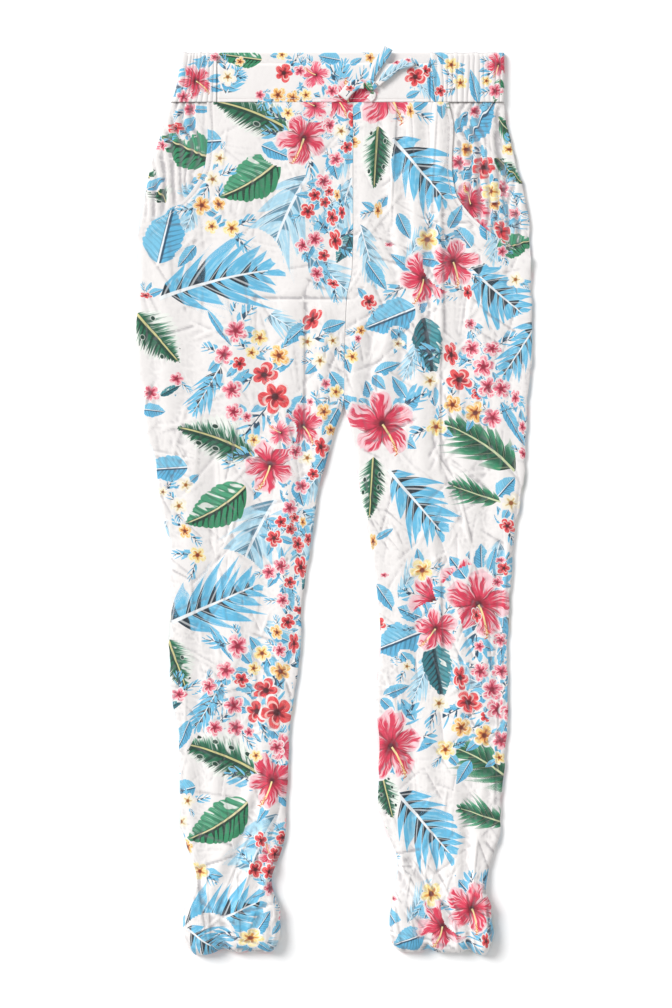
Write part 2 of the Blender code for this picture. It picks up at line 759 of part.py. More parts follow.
def build_band_front():
    """The flat front piece of the waistband, its upper edge a soft roll."""
    first, last = FRONT_BAND_RIGHT_SEAM + SEAM_GAP / 2, FRONT_BAND_LEFT_SEAM - SEAM_GAP / 2
    across = np.linspace(first, last, FRONT_BAND_COLUMNS)
    falls = np.array([row.level for row in FRONT_BAND_FALLS])
    across, down = np.meshgrid(across, [row.down for row in FRONT_BAND_FALLS])
    top = BAND_LEVEL + FRONT_BAND_RISE
    level = np.repeat((top - falls)[:, None], across.shape[1], axis=1)
    outer = to_world(across, down, level)
    under = to_world(across, down, np.full_like(level, top - BAND_WALL))
    return cloth_wall("band_front", outer, under, "band")


def knot_base():
    """Height of the tie's underside, just clear of the band."""
    return BAND_LEVEL + FRONT_BAND_RISE + SEAM_GAP


def tie_base():
    """Height of the middle of the tie's lowest layer."""
    return knot_base() + TIE_WALL / 2


def smooth_path(points, count):
    """Points along a smooth curve through the given ones."""
    points = np.array(points, float)
    gaps = np.linalg.norm(np.diff(points, axis=0), axis=1)
    known = np.concatenate([[0.0], np.cumsum(gaps)])
    at = np.linspace(0.0, known[-1], count)
    axes = [[Level(*pair) for pair in zip(known, values)] for values in points.T]
    return np.stack([read_table(axis, "level", at) for axis in axes], axis=-1)


def strip_route(strip):
    """Route of a tie strip's centreline (across, down, height) and its width along it."""
    plan = smooth_path(strip.path, STRIP_POINTS)
    base = tie_base()
    share = np.linspace(0.0, 1.0, len(plan))
    width = strip.width * (STRIP_START + (1 - STRIP_START) * smoothstep(share, 0.0, STRIP_SPREAD))
    if not strip.looped:
        arch = strip.rise * np.sin(math.pi * np.clip(share * END_FALL, 0.0, 1.0))
        return np.column_stack([plan, base + arch]), width
    half = strip.rise / 2
    step = plan[-1] - plan[-2]
    step /= np.linalg.norm(step)
    angles = np.linspace(-math.pi / 2, math.pi / 2, LOOP_TURN_STEPS)[1:-1]
    turn = np.array(
        [[*(plan[-1] + half * math.cos(a) * step), base + half + half * math.sin(a)] for a in angles]
    )
    lower = np.column_stack([plan, np.full(len(plan), base)])
    upper = np.column_stack([plan, np.full(len(plan), base + strip.rise)])[::-1]
    widths = np.concatenate([width, np.full(len(turn), strip.width), width[::-1]])
    return np.concatenate([lower, turn, upper]), widths


def build_strip(strip):
    """A flat strip of the tie: a single end, or a loop that goes out and comes back above."""
    route, width = strip_route(strip)
    plan_run = np.gradient(smooth_path(strip.path, STRIP_POINTS), axis=0)
    plan_run /= np.linalg.norm(plan_run, axis=1, keepdims=True)
    if strip.looped:
        turn_count = len(route) - 2 * len(plan_run)
        turn_run = np.repeat(plan_run[-1:], turn_count, axis=0)
        plan_run = np.concatenate([plan_run, turn_run, plan_run[::-1]])
    sideways = np.column_stack([-plan_run[:, 1], plan_run[:, 0], np.zeros(len(route))])
    along = np.gradient(route, axis=0)
    along /= np.linalg.norm(along, axis=1, keepdims=True)
    normal = np.cross(along, sideways)
    offsets = np.linspace(-0.5, 0.5, STRIP_COLUMNS)
    middle = route[:, None, :] + sideways[:, None, :] * (width[:, None] * offsets)[..., None]
    faces = []
    for side in (0.5, -0.5):
        shifted = middle + side * TIE_WALL * normal[:, None, :]
        faces.append(to_world(shifted[..., 0], shifted[..., 1], shifted[..., 2]))
    return cloth_wall(strip.name, faces[0], faces[1], "tie")


def build_tie_knot():
    """The knot: a small squashed lump on the band that the strips come out of."""
    rings, sides = KNOT_RINGS, KNOT_SIDES
    length, width, height = TIE_KNOT_SIZE
    base = knot_base()
    points, faces = [], []
    for ring in range(1, rings):
        angle = math.pi * ring / rings
        for side in range(sides):
            turn = 2 * math.pi * side / sides
            pinch = 1.0 + KNOT_PINCH * math.cos(KNOT_WINDINGS * turn)
            points.append(
                (
                    TIE_KNOT_ACROSS + length / 2 * math.sin(angle) * math.cos(turn) * pinch,
                    TIE_KNOT_DOWN + width / 2 * math.sin(angle) * math.sin(turn) * pinch,
                    base + height / 2 * (1 + math.cos(angle)),
                )
            )
    top = len(points)
    points.append((TIE_KNOT_ACROSS, TIE_KNOT_DOWN, base + height))
    points.append((TIE_KNOT_ACROSS, TIE_KNOT_DOWN, base))
    for side in range(sides):
        following = (side + 1) % sides
        faces.append((top, side, following))
        last = (rings - 2) * sides
        faces.append((top + 1, last + following, last + side))
        for ring in range(rings - 2):
            upper, lower = ring * sides, (ring + 1) * sides
            faces.append((upper + side, lower + side, lower + following, upper + following))
    points = np.array(points)
    world = to_world(points[:, 0], points[:, 1], points[:, 2])
    if outward_volume(world, faces) < 0:
        faces = [face[::-1] for face in faces]
    return add_object("tie_knot", world, faces, "tie")


def main():
    clear_scene()
    build_front("front_right", RIGHT_SECTIONS, RIGHT_MOUTH, -1)
    build_front("front_left", LEFT_SECTIONS, LEFT_MOUTH, 1)
    build_back("back_right", RIGHT_SECTIONS, -1)
    build_back("back_left", LEFT_SECTIONS, 1)
    build_pocket("pocket_right", RIGHT_SECTIONS, RIGHT_MOUTH, RIGHT_BAG_EDGE)
    build_pocket("pocket_left", LEFT_SECTIONS, LEFT_MOUTH, LEFT_BAG_EDGE)
    build_hem_turn("hem_turn_right", RIGHT_SECTIONS)
    build_hem_turn("hem_turn_left", LEFT_SECTIONS)
    build_band_back()
    build_band_front()
    build_tie_knot()
    for strip in TIE_STRIPS:
        build_strip(strip)


main()
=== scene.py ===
"""Looks of cropped, elastic-waist trousers of thin printed cloth, laid flat on their back.

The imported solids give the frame. Each piece of cloth is worked out anew as a close grid of
points on its solid's form, with its creases, and carries the flower print as places inside
each printed leaf or flower, which the cloth's material draws. Tables give places on the
laid-out garment in millimetres: `across` from the layout's left border, and `down` from its
upper border. The wearer's right leg is toward -X.
"""

import logging
import math
from collections.abc import Callable, Iterable, Sequence
from dataclasses import dataclass, replace
from enum import Enum
from functools import cache

import bpy
import numpy as np
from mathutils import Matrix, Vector


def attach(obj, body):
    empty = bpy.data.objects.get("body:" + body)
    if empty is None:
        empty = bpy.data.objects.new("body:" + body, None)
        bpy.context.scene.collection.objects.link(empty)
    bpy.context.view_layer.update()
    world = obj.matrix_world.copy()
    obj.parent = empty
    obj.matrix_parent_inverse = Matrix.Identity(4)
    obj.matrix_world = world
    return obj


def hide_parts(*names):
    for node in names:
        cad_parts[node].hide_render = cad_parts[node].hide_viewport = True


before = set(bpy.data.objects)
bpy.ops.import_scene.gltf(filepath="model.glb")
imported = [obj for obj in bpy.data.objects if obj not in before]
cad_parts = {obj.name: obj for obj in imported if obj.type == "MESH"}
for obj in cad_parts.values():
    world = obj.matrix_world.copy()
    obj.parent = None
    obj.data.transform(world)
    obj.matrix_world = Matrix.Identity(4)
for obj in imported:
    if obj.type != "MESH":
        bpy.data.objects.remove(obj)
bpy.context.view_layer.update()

log = logging.getLogger("trousers")

Array = np.ndarray
Colour = tuple[int, int, int]
Colours = tuple[Colour, ...]
Material = bpy.types.Material
Mesh = bpy.types.Mesh
Node = bpy.types.Node
Object = bpy.types.Object
Socket = bpy.types.NodeSocket
Number = "float | Wire"

MM = 0.001
LAYOUT_CENTRE_ACROSS = 334.5
LAYOUT_CENTRE_DOWN = 500.5
BODY = "root"
CLOTH = "_cloth"


# ---------------------------------------------------------------- formulas in node trees


class Wire:
    """A number that runs through a node tree, for writing formulas with."""

    def __init__(self, sketch: "Sketch", socket: Socket) -> None:
        """Keeps the socket that puts the number out."""
        self.sketch = sketch
        self.socket = socket

    def __add__(self, other: Number) -> "Wire":
        """The sum."""
        return self.sketch.math("ADD", self, other)

    __radd__ = __add__

    def __sub__(self, other: Number) -> "Wire":
        """The difference."""
        return self.sketch.math("SUBTRACT", self, other)

    def __rsub__(self, other: Number) -> "Wire":
        """The difference, the other way round."""
        return self.sketch.math("SUBTRACT", other, self)

    def __mul__(self, other: Number) -> "Wire":
        """The product."""
        return self.sketch.math("MULTIPLY", self, other)

    __rmul__ = __mul__

    def __truediv__(self, other: Number) -> "Wire":
        """The quotient."""
        return self.sketch.math("DIVIDE", self, other)

    def __abs__(self) -> "Wire":
        """The number without its sign."""
        return self.sketch.math("ABSOLUTE", self)


class Sketch:
    """Writes formulas into a node tree, node after node."""

    ROWS = 9

    def __init__(self, tree: bpy.types.NodeTree) -> None:
        """Starts a sketch in the tree."""
        self.tree = tree

    def node(self, kind: str, **settings: object) -> Node:
        """Adds a node.

        Args:
            kind: The node's type in Blender.
            settings: Its properties.

        Returns:
            The node, placed after those before it.
        """
        made = self.tree.nodes.new(kind)
        place = len(self.tree.nodes)
        made.location = (200 * (place // self.ROWS), -180 * (place % self.ROWS))
        for name, value in settings.items():
            setattr(made, name, value)
        return made

    def feed(self, socket: Socket, value: object) -> None:
        """Gives a socket a number, a colour or what comes out of another node."""
        if isinstance(value, Wire):
            self.tree.links.new(value.socket, socket)
        elif isinstance(value, Socket):
            self.tree.links.new(value, socket)
        else:
            socket.default_value = value

    def fed(self, made: Node, **values: object) -> Node:
        """A node whose named inputs are fed.

        Args:
            made: The node.
            values: What each input takes, under its name.

        Returns:
            The same node.
        """
        for name, value in values.items():
            self.feed(made.inputs[name], value)
        return made

    def math(self, operation: str, *values: Number) -> Wire:
        """The result of one of Blender's math operations."""
        made = self.node("ShaderNodeMath", operation=operation)
        for socket, value in zip(made.inputs, values):
            self.feed(socket, value)
        return Wire(self, made.outputs[0])

    def least(self, first: Number, second: Number) -> Wire:
        """The smaller of two numbers."""
        return self.math("MINIMUM", first, second)

    def most(self, first: Number, second: Number) -> Wire:
        """The larger of two numbers."""
        return self.math("MAXIMUM", first, second)

    def over(self, value: Number, limit: Number) -> Wire:
        """One where the value is over the limit, and nought elsewhere."""
        return self.math("GREATER_THAN", value, limit)

    def near(self, value: Number, target: float) -> Wire:
        """One where the value is within a half of the target."""
        return self.math("COMPARE", value, target, 0.5)

    def rise(self, value: Number, low: float, high: float) -> Wire:
        """A soft step from nought at low to one at high, which may be the smaller."""
        made = self.fed(self.node("ShaderNodeMapRange", interpolation_type="SMOOTHSTEP"), Value=value)
        turned = float(low > high)
        limits = {"From Min": min(low, high), "From Max": max(low, high)}
        limits |= {"To Min": turned, "To Max": 1.0 - turned}
        return Wire(self, self.fed(made, **limits).outputs["Result"])

    def split(self, vector: object) -> tuple[Wire, Wire, Wire]:
        """The three numbers of a vector."""
        made = self.node("ShaderNodeSeparateXYZ")
        self.feed(made.inputs[0], vector)
        return tuple(Wire(self, socket) for socket in made.outputs)

    def join(self, first: Number, second: Number, third: Number = 0.0) -> Wire:
        """A vector of three numbers."""
        made = self.node("ShaderNodeCombineXYZ")
        for socket, value in zip(made.inputs, (first, second, third)):
            self.feed(socket, value)
        return Wire(self, made.outputs[0])

    def noise(self, vector: Wire, scale: float, detail: float = 0.0) -> Wire:
        """Soft noise about a half, read at a vector."""
        made = self.node("ShaderNodeTexNoise", noise_dimensions="3D")
        return Wire(self, self.fed(made, Vector=vector, Scale=scale, Detail=detail).outputs["Fac"])

    def chance(self, number: Wire) -> Wire:
        """An even random number from nought to one, fixed by another number."""
        made = self.node("ShaderNodeTexWhiteNoise", noise_dimensions="1D")
        return Wire(self, self.fed(made, W=number).outputs["Value"])

    def mix(self, first: object, second: object, share: Number) -> Wire:
        """A colour between two others."""
        made = self.node("ShaderNodeMix", data_type="RGBA")
        self.feed(made.inputs["Factor"], share)
        sockets = [socket for socket in made.inputs if socket.type == "RGBA"]
        for socket, value in zip(sockets, (first, second)):
            self.feed(socket, value)
        return Wire(self, next(socket for socket in made.outputs if socket.type == "RGBA"))

    def paint(self, colour: object, *coats: tuple[object, Number]) -> Wire:
        """A colour with coats laid over it, each a colour and how much of it covers."""
        for coat, share in coats:
            colour = self.mix(colour, coat, share)
        return colour

    def swatch(self, kind: Wire, colours: Sequence[Colour]) -> Wire:
        """The colour of a list that a whole number picks."""
        made = self.node("ShaderNodeValToRGB")
        ramp = made.color_ramp
        ramp.interpolation = "CONSTANT"
        while len(ramp.elements) < len(colours):
            ramp.elements.new(1.0)
        for place, (element, colour) in enumerate(zip(ramp.elements, colours)):
            element.position = place / len(colours)
            element.color = dye(colour)
        self.feed(made.inputs[0], (kind + 0.5) / float(len(colours)))
        return Wire(self, made.outputs["Color"])


def dye(colour: Colour) -> tuple[float, float, float, float]:
    """A screen colour, 0 to 255, as the linear colour that a shader takes."""
    parts = [part / 255 for part in colour]
    linear = [part / 12.92 if part <= 0.04045 else ((part + 0.055) / 1.055) ** 2.4 for part in parts]
    return (*linear, 1.0)


class Group:
    """A shader node group with named inputs and outputs, built once."""

    def __init__(self, name: str, inputs: dict[str, str], outputs: dict[str, str]) -> None:
        """Makes the empty group.

        Args:
            name: The group's name.
            inputs: The kind of socket for each input's name.
            outputs: The kind of socket for each output's name.
        """
        self.tree = bpy.data.node_groups.new(name, "ShaderNodeTree")
        for direction, sockets in (("INPUT", inputs), ("OUTPUT", outputs)):
            for socket, kind in sockets.items():
                self.tree.interface.new_socket(socket, in_out=direction, socket_type="NodeSocket" + kind)
        self.sketch = Sketch(self.tree)
        self.entry = self.sketch.node("NodeGroupInput")
        self.exit = self.sketch.node("NodeGroupOutput")

    def given(self, name: str) -> Wire:
        """What comes in under a name."""
        return Wire(self.sketch, self.entry.outputs[name])

    def put(self, **results: Wire) -> None:
        """Sends results out, each under its name."""
        self.sketch.fed(self.exit, **results)

    def use(self, sketch: Sketch, **values: object) -> Node:
        """Places the group in a material.

        Args:
            sketch: The material's sketch.
            values: What each input takes.

        Returns:
            The group's node.
        """
        return sketch.fed(sketch.node("ShaderNodeGroup", node_tree=self.tree), **values)


# ---------------------------------------------------------------- the print's drawings


class FrondKind(Enum):
    """Colours of the feathered leaves."""

    SKY = 0
    PALE = 1
    FERN = 2
    SPRIG = 3
    TEAL = 4


class LeafKind(Enum):
    """Kinds of broad leaf."""

    GREEN = 0
    HOLED = 1
    SKY = 2
    TEAL = 3


class BloomKind(Enum):
    """Kinds of small flower."""

    CORAL = 0
    PINK = 1
    YELLOW = 2
    CREAM = 3
    AMBER = 4


class HibiscusKind(Enum):
    """Kinds of large flower."""

    CRIMSON = 0
    ROSE = 1


PRINT_INPUTS = {"Place": "Vector", "Kind": "Float", "Seed": "Float"}
PRINT_OUTPUTS = {"Colour": "Color", "Mask": "Float", "Rim": "Float"}


@dataclass(frozen=True)
class FrondDrawing:
    """A feathered leaf: pointed leaflets on both sides of a stem, from (0, 0) to (1, 0)."""

    main: Colours = ((96, 184, 222), (170, 214, 234), (44, 138, 98), (104, 186, 222), (54, 138, 150))
    bright: Colours = ((150, 211, 236), (210, 234, 242), (128, 190, 160), (160, 212, 234), (96, 170, 180))
    dark: Colours = ((18, 42, 54), (92, 140, 164), (8, 62, 44), (26, 66, 92), (14, 44, 54))
    rib: Colours = ((238, 242, 244), (236, 242, 246), (206, 214, 170), (44, 84, 104), (22, 50, 56))
    leaflets: float = 7.0
    fern_leaflets: float = 7.5
    sprig_leaflets: float = 3.5
    reach: float = 0.34

    def group(self) -> Group:
        """The node group that draws it."""
        made = Group("printed_frond", PRINT_INPUTS, PRINT_OUTPUTS)
        s = made.sketch
        kind, seed = made.given("Kind"), made.given("Seed")
        x, y, _ = s.split(made.given("Place"))
        off = abs(y)
        side = s.over(y, 0.0)
        sprig = s.near(kind, FrondKind.SPRIG.value)
        fern = s.near(kind, FrondKind.FERN.value)
        count = sprig * (self.sprig_leaflets - self.leaflets) + self.leaflets
        count = count + fern * (self.fern_leaflets - self.leaflets)
        slant = s.least(s.most(x, 0.0), 1.0) * 0.75 + 0.62
        root = x - off * (slant + off * 0.5)
        cell = root * count + side * 0.5 + s.math("SINE", root * 19.0 + seed) * 0.18
        number = s.math("FLOOR", cell)
        across = cell - number - 0.5
        luck = s.chance(number + side * 57.0 + seed * 13.0)
        start = (number + 0.5 - side * 0.5) / count
        swell = s.math("SINE", s.least(s.most(start * 0.80 + 0.14, 0.0), 1.0) * math.pi)
        reach = (luck * 0.62 + 0.66) * s.math("POWER", s.most(swell, 0.0), 0.6) * self.reach
        reach = s.least(reach, (1.14 - start) * 0.52)
        far = off / s.most(reach, 0.01)
        curved = across + far * far * (luck - 0.3) * 0.5
        feather = s.least((1.02 - far) * (0.92 + luck * 0.2), 0.54)
        oval = s.math("SQRT", s.most(far * (1.0 - far), 0.0)) * 0.62
        half = feather + sprig * (oval - feather)
        inside = s.rise(half - abs(curved), 0.0, 0.05) * s.over(1.0, far)
        inside = inside * s.over(start, 0.0) * s.over(1.06, start) * s.over(x, -0.01)
        wedge = luck * 0.30 + 0.42 - far - (curved + 0.5) * (0.86 - sprig * 0.3)
        dark = s.rise(wedge, 0.0, 0.07) * s.rise(curved, -0.53, -0.47)
        shade = s.rise(far - curved * 0.4, 0.62, 0.12) * fern
        grain = s.noise(s.join(cell * 2.6, far * 1.6, seed), 2.4, 1.0)
        tone = s.rise(grain + curved * 0.4, 0.52, 0.72) * 0.75
        vein = s.rise(abs(curved + 0.36 - far * 0.2), 0.07, 0.03) * s.rise(far, 0.62, 0.4)
        parting = s.rise(abs(across) - 0.44, 0.0, 0.05) * s.rise(far, 0.3, 0.5)
        stem = s.rise(off - (1.05 - x) * 0.012, 0.008, 0.002) * s.over(x, 0.0) * s.over(1.0, x)
        bright, rib = s.swatch(kind, self.bright), s.swatch(kind, self.rib)
        colour = s.paint(
            s.swatch(kind, self.main),
            (bright, tone * (1.0 - shade)),
            (bright, parting * 0.5),
            (s.swatch(kind, self.dark), s.most(dark, shade * 0.7)),
            (rib, vein * (0.5 - fern * 0.25)),
            (rib, stem),
        )
        fade = 1.0 - s.rise(far, 0.55, 1.0) * fern * 0.7
        made.put(Colour=colour, Mask=s.most(inside * fade, stem), Rim=s.most(inside, stem))
        return made


@dataclass(frozen=True)
class LeafDrawing:
    """A broad leaf from (0, 0) to its tip at (1, 0), its lower half the darker one."""

    light: Colours = ((70, 158, 118), (70, 158, 122), (120, 196, 228), (66, 146, 156))
    deep: Colours = ((42, 138, 94), (20, 104, 72), (92, 178, 218), (34, 112, 124))
    stroke: Colours = ((6, 48, 36), (8, 58, 44), (24, 62, 88), (10, 42, 52))
    rib: Colours = ((220, 212, 164), (206, 200, 140), (236, 242, 246), (30, 70, 78))
    pale: Colour = (240, 242, 236)
    half_width: float = 0.265
    barbs: float = 11.0

    def group(self) -> Group:
        """The node group that draws it."""
        made = Group("printed_leaf", PRINT_INPUTS, PRINT_OUTPUTS)
        s = made.sketch
        kind, seed = made.given("Kind"), made.given("Seed")
        x, y, _ = s.split(made.given("Place"))
        off = abs(y)
        lower = s.over(y, 0.0)
        holed = s.near(kind, LeafKind.HOLED.value)
        blue = s.near(kind, LeafKind.SKY.value)
        run = s.math("POWER", s.least(s.most(x, 0.0), 1.0), 0.74)
        width = s.math("POWER", s.most(s.math("SINE", run * math.pi), 0.0), 0.86) * self.half_width
        vein = x - off * 0.75
        sway = s.noise(s.join(vein * 5.0, off * 3.0, seed + lower * 7.0), 1.0, 1.0) - 0.5
        phase = vein * self.barbs + sway * 1.6 + lower * 0.4
        comb = abs(phase - s.math("FLOOR", phase) - 0.5) * 2.0
        lobes = s.noise(s.join(vein * 6.0, lower * 5.0, seed), 1.0) - 0.5
        tufts = s.noise(s.join(vein * 60.0, lower * 3.0, seed), 1.0) - 0.5
        edge = width * (1.0 + lobes * 0.36) - comb * comb * (holed * 0.035 + 0.016)
        edge = edge + tufts * holed * 0.05 - off
        mask = s.rise(edge, 0.0, 0.012) * s.over(x, 0.0) * s.over(1.0, x)
        share = off / s.most(width, 0.02)
        hairs = s.noise(s.join(vein * 70.0, off * 3.0, seed), 1.0)
        barb = s.rise(comb - share * 0.46, 0.38, 0.56)
        barb = barb * s.rise(share, 1.08, 0.8) * s.rise(sway, -0.35, -0.05)
        sheen = s.rise(abs(comb - 0.25), 0.12, 0.03) * s.rise(share, 0.95, 0.5) * (1.0 - lower)
        slit = s.noise(s.join(vein * 17.0, off * 5.0, seed + 4.0), 1.0)
        slit = s.rise(slit, 0.62, 0.67) * (1.0 - lower) * s.rise(share, 0.10, 0.25) * (1.0 - blue)
        spot = self.holes(s, x, off, lower, seed)
        outline = s.rise(abs(y - 0.012), 0.036, 0.022) * s.rise(x, 0.98, 0.85)
        midrib = s.rise(off - (1.0 - x) * 0.007, 0.009, 0.004)
        pale, stroke = dye(self.pale), s.swatch(kind, self.stroke)
        colour = s.paint(
            s.swatch(kind, self.light),
            (s.swatch(kind, self.deep), s.most(lower, holed * s.rise(share, 0.6, 0.2))),
            (pale, s.rise(share + hairs * 0.8 - lower * 0.12, 0.74, 1.08) * holed),
            (stroke, barb * (lower * 0.55 + 0.40) * (1.0 - blue * 0.55)),
            (pale, sheen * s.rise(sway, -0.05, 0.12) * 0.55),
            (pale, slit * 0.85),
            (pale, s.rise(spot, 1.6, 1.2) * holed * 0.45),
            (stroke, s.rise(spot, 1.08, 0.94) * holed),
            (stroke, outline * 0.9),
            (s.swatch(kind, self.rib), midrib * s.rise(x, 0.97, 0.88)),
        )
        made.put(Colour=colour, Mask=mask, Rim=mask)
        return made

    def holes(self, s: Sketch, x: Wire, off: Wire, lower: Wire, seed: Wire) -> Wire:
        """How far a point is from the nearest oval hole beside the rib, in holes' radii."""
        cell = x * 5.0 + lower * 0.45 + seed
        number = s.math("FLOOR", cell)
        luck = s.chance(number * 3.0 + lower * 17.0 + seed)
        along = (cell - number - 0.5) / 5.0
        beside = off - luck * 0.05 - 0.075
        away = s.math("SQRT", along * along * 900.0 + beside * beside * 2200.0)
        return away + s.over(0.42, luck) * 9.0


def petals(s: Sketch, place: tuple[Wire, Wire], seed: Wire, noise: tuple[float, ...]) -> tuple[Wire, ...]:
    """Where a point lies among a flower's five petals.

    Args:
        s: The drawing's sketch.
        place: The point, from the flower's heart.
        seed: The number that makes this flower unlike the others.
        noise: Scale, detail and strength of the twist, and the salt of each petal's luck.

    Returns:
        Distance from the heart, turn in petals, place across a petal, its number and its luck.
    """
    x, y = place
    scale, detail, sway, salt = noise
    away = s.math("SQRT", x * x + y * y)
    twist = s.noise(s.join(x, y, seed), scale, detail) - 0.5
    turn = s.math("ARCTAN2", y, x) * (5 / (2 * math.pi)) + twist * sway + 5.0
    number = s.math("FLOOR", turn + 0.5)
    wrapped = s.math("MODULO", number, 5.0)
    return away, turn, turn - number, wrapped, s.chance(wrapped + seed * salt)


@dataclass(frozen=True)
class HibiscusDrawing:
    """A large open flower of five ruffled petals, of radius one, its stamens toward (1, 0)."""

    main: Colours = ((218, 52, 84), (232, 82, 112))
    pale: Colours = ((248, 206, 212), (250, 222, 224))
    deep: Colours = ((140, 16, 42), (170, 30, 60))
    heart: Colour = (84, 14, 28)
    cream: Colour = (246, 222, 158)
    pollen: Colour = (206, 104, 50)

    def group(self) -> Group:
        """The node group that draws it."""
        made = Group("printed_hibiscus", PRINT_INPUTS, PRINT_OUTPUTS)
        s = made.sketch
        kind, seed = made.given("Kind"), made.given("Seed")
        x, y, _ = s.split(made.given("Place"))
        away, turn, across, wrapped, luck = petals(s, (x, y), seed, (2.2, 1.0, 0.55, 7.0))
        ruffle = s.noise(s.join(turn * 3.2, seed, wrapped), 1.6, 2.0) - 0.5
        waist = s.math("POWER", abs(across) * 2.0, 2.6)
        reach = (luck * 0.26 + 0.80) * (1.0 - waist * 0.46) * (ruffle * 0.34 + 1.0)
        share = away / reach
        mask = s.rise(reach - away, 0.0, 0.025)
        rim = s.rise(reach - away, -0.07, -0.04)
        streak = s.noise(s.join(across * 9.0, away * 1.3, wrapped * 3.0 + seed), 1.5, 2.0)
        blush = s.rise(streak + share * 0.40 + across * 0.28, 0.78, 0.95)
        deepen = s.rise(s.rise(share, 0.42, 0.06) + s.rise(abs(across), 0.36, 0.5) * 0.75, 0.15, 0.75)
        rays = s.rise(s.noise(s.join(across * 26.0, away, wrapped + seed), 1.0), 0.52, 0.62)
        gleams = s.rise(s.noise(s.join(across * 17.0, away * 1.4, wrapped + seed + 5.0), 1.0), 0.54, 0.64)
        bent = y - x * x * 0.22
        column = s.rise(abs(bent), 0.036, 0.020) * s.over(x, 0.02) * s.over(0.92, x)
        dots = s.noise(s.join(x, y, 2.0), 26.0)
        head = s.rise(abs(bent), 0.105, 0.085) * s.over(x, 0.60) * s.over(0.96, x)
        stamens = head * s.rise(dots, 0.52, 0.58)
        pale, deep = s.swatch(kind, self.pale), s.swatch(kind, self.deep)
        colour = s.paint(
            s.swatch(kind, self.main),
            (pale, blush),
            (pale, s.rise(share + streak * 0.3, 1.0, 1.12) * 0.8),
            (pale, gleams * s.rise(share, 0.30, 0.66) * 0.75),
            (deep, rays * s.rise(share, 0.72, 0.2) * 0.55),
            (deep, deepen * 0.85),
            (dye(self.heart), s.rise(away, 0.15, 0.05)),
            (dye(self.cream), column),
            (dye(self.pollen), stamens),
        )
        whole = s.most(mask, s.most(column, stamens))
        made.put(Colour=colour, Mask=whole, Rim=s.most(rim, whole))
        return made


@dataclass(frozen=True)
class BloomDrawing:
    """A small flower of five round petals, of radius one."""

    main: Colours = ((222, 58, 66), (232, 96, 122), (248, 220, 134), (248, 240, 218), (240, 176, 92))
    edge: Colours = ((236, 96, 96), (250, 200, 206), (250, 238, 190), (244, 236, 224), (250, 226, 160))
    deep: Colours = ((134, 16, 34), (170, 30, 62), (206, 122, 40), (214, 186, 120), (176, 78, 30))
    heart: Colours = ((70, 8, 20), (140, 22, 50), (128, 44, 18), (150, 84, 24), (112, 40, 20))
    curl: Colours = ((248, 214, 206), (252, 236, 232), (255, 248, 224), (255, 252, 240), (252, 236, 200))

    def group(self) -> Group:
        """The node group that draws it."""
        made = Group("printed_bloom", PRINT_INPUTS, PRINT_OUTPUTS)
        s = made.sketch
        kind, seed = made.given("Kind"), made.given("Seed")
        x, y, _ = s.split(made.given("Place"))
        away, _, across, wrapped, luck = petals(s, (x, y), seed, (1.6, 0.0, 0.5, 11.0))
        round_petal = s.math("POWER", s.most(s.math("COSINE", across * math.pi), 0.0), 0.55)
        reach = (round_petal * 0.48 + 0.46) * (luck * 0.24 + 0.84)
        share = away / reach
        mask = s.rise(reach - away, 0.0, 0.05)
        rim = s.rise(reach - away, -0.13, -0.08)
        streak = s.noise(s.join(across * 7.0, away * 1.5, wrapped * 3.0 + seed), 1.6, 1.0)
        star = away - s.rise(abs(across), 0.34, 0.0) * 0.32 + streak * 0.16
        between = s.rise(abs(across), 0.42, 0.5) * s.rise(share, 1.0, 0.5)
        arc = s.rise(abs(share - 0.62 + across * 0.5), 0.10, 0.05) * s.over(luck, 0.55)
        deep = s.swatch(kind, self.deep)
        colour = s.paint(
            s.swatch(kind, self.main),
            (s.swatch(kind, self.edge), s.rise(streak + share * 0.45, 0.72, 0.98)),
            (deep, s.rise(star, 0.44, 0.18) * 0.9),
            (deep, between * 0.7),
            (s.swatch(kind, self.curl), arc * 0.75),
            (s.swatch(kind, self.heart), s.rise(away, 0.27, 0.13)),
        )
        made.put(Colour=colour, Mask=mask, Rim=rim)
        return made


# ---------------------------------------------------------------- places of the print


@dataclass(frozen=True)
class Leaflike:
    """A printed leaf, from the foot of its stem to its tip, in millimetres of layout."""

    kind: Enum
    across: float
    down: float
    to_across: float
    to_down: float
    breadth: float
    bend: float = 0.0

    def moved(self, across: float, down: float) -> "Leaflike":
        """The same leaf farther along the cloth."""
        ends = {"across": self.across + across, "down": self.down + down}
        return replace(self, **ends, to_across=self.to_across + across, to_down=self.to_down + down)

    def covers(self, inside: Array) -> Array:
        """True where places inside the drawing may be printed."""
        return np.hypot((inside[:, 0] - 0.54) / 0.62, inside[:, 1] / self.half_reach) < 1.0

    def place(self, points: Array) -> Array:
        """Places inside the drawing of points on the layout.

        Args:
            points: Rows of (across, down).

        Returns:
            Rows of (along, beside) as the leaf's drawing reads them.
        """
        run = np.array([self.to_across - self.across, self.to_down - self.down])
        length = math.hypot(*run)
        run = run / length
        beside = np.array([-run[1], run[0]])
        if beside[1] < 0:
            beside = -beside
        away = points - np.array([self.across, self.down])
        along = away @ run / length
        off = away @ beside / length + self.bend * 4 * along * (1 - along)
        return np.stack([along, off / self.breadth], axis=-1)


class Frond(Leaflike):
    """A feathered leaf."""

    half_reach = 0.50


class Leaf(Leaflike):
    """A broad leaf."""

    half_reach = 0.40


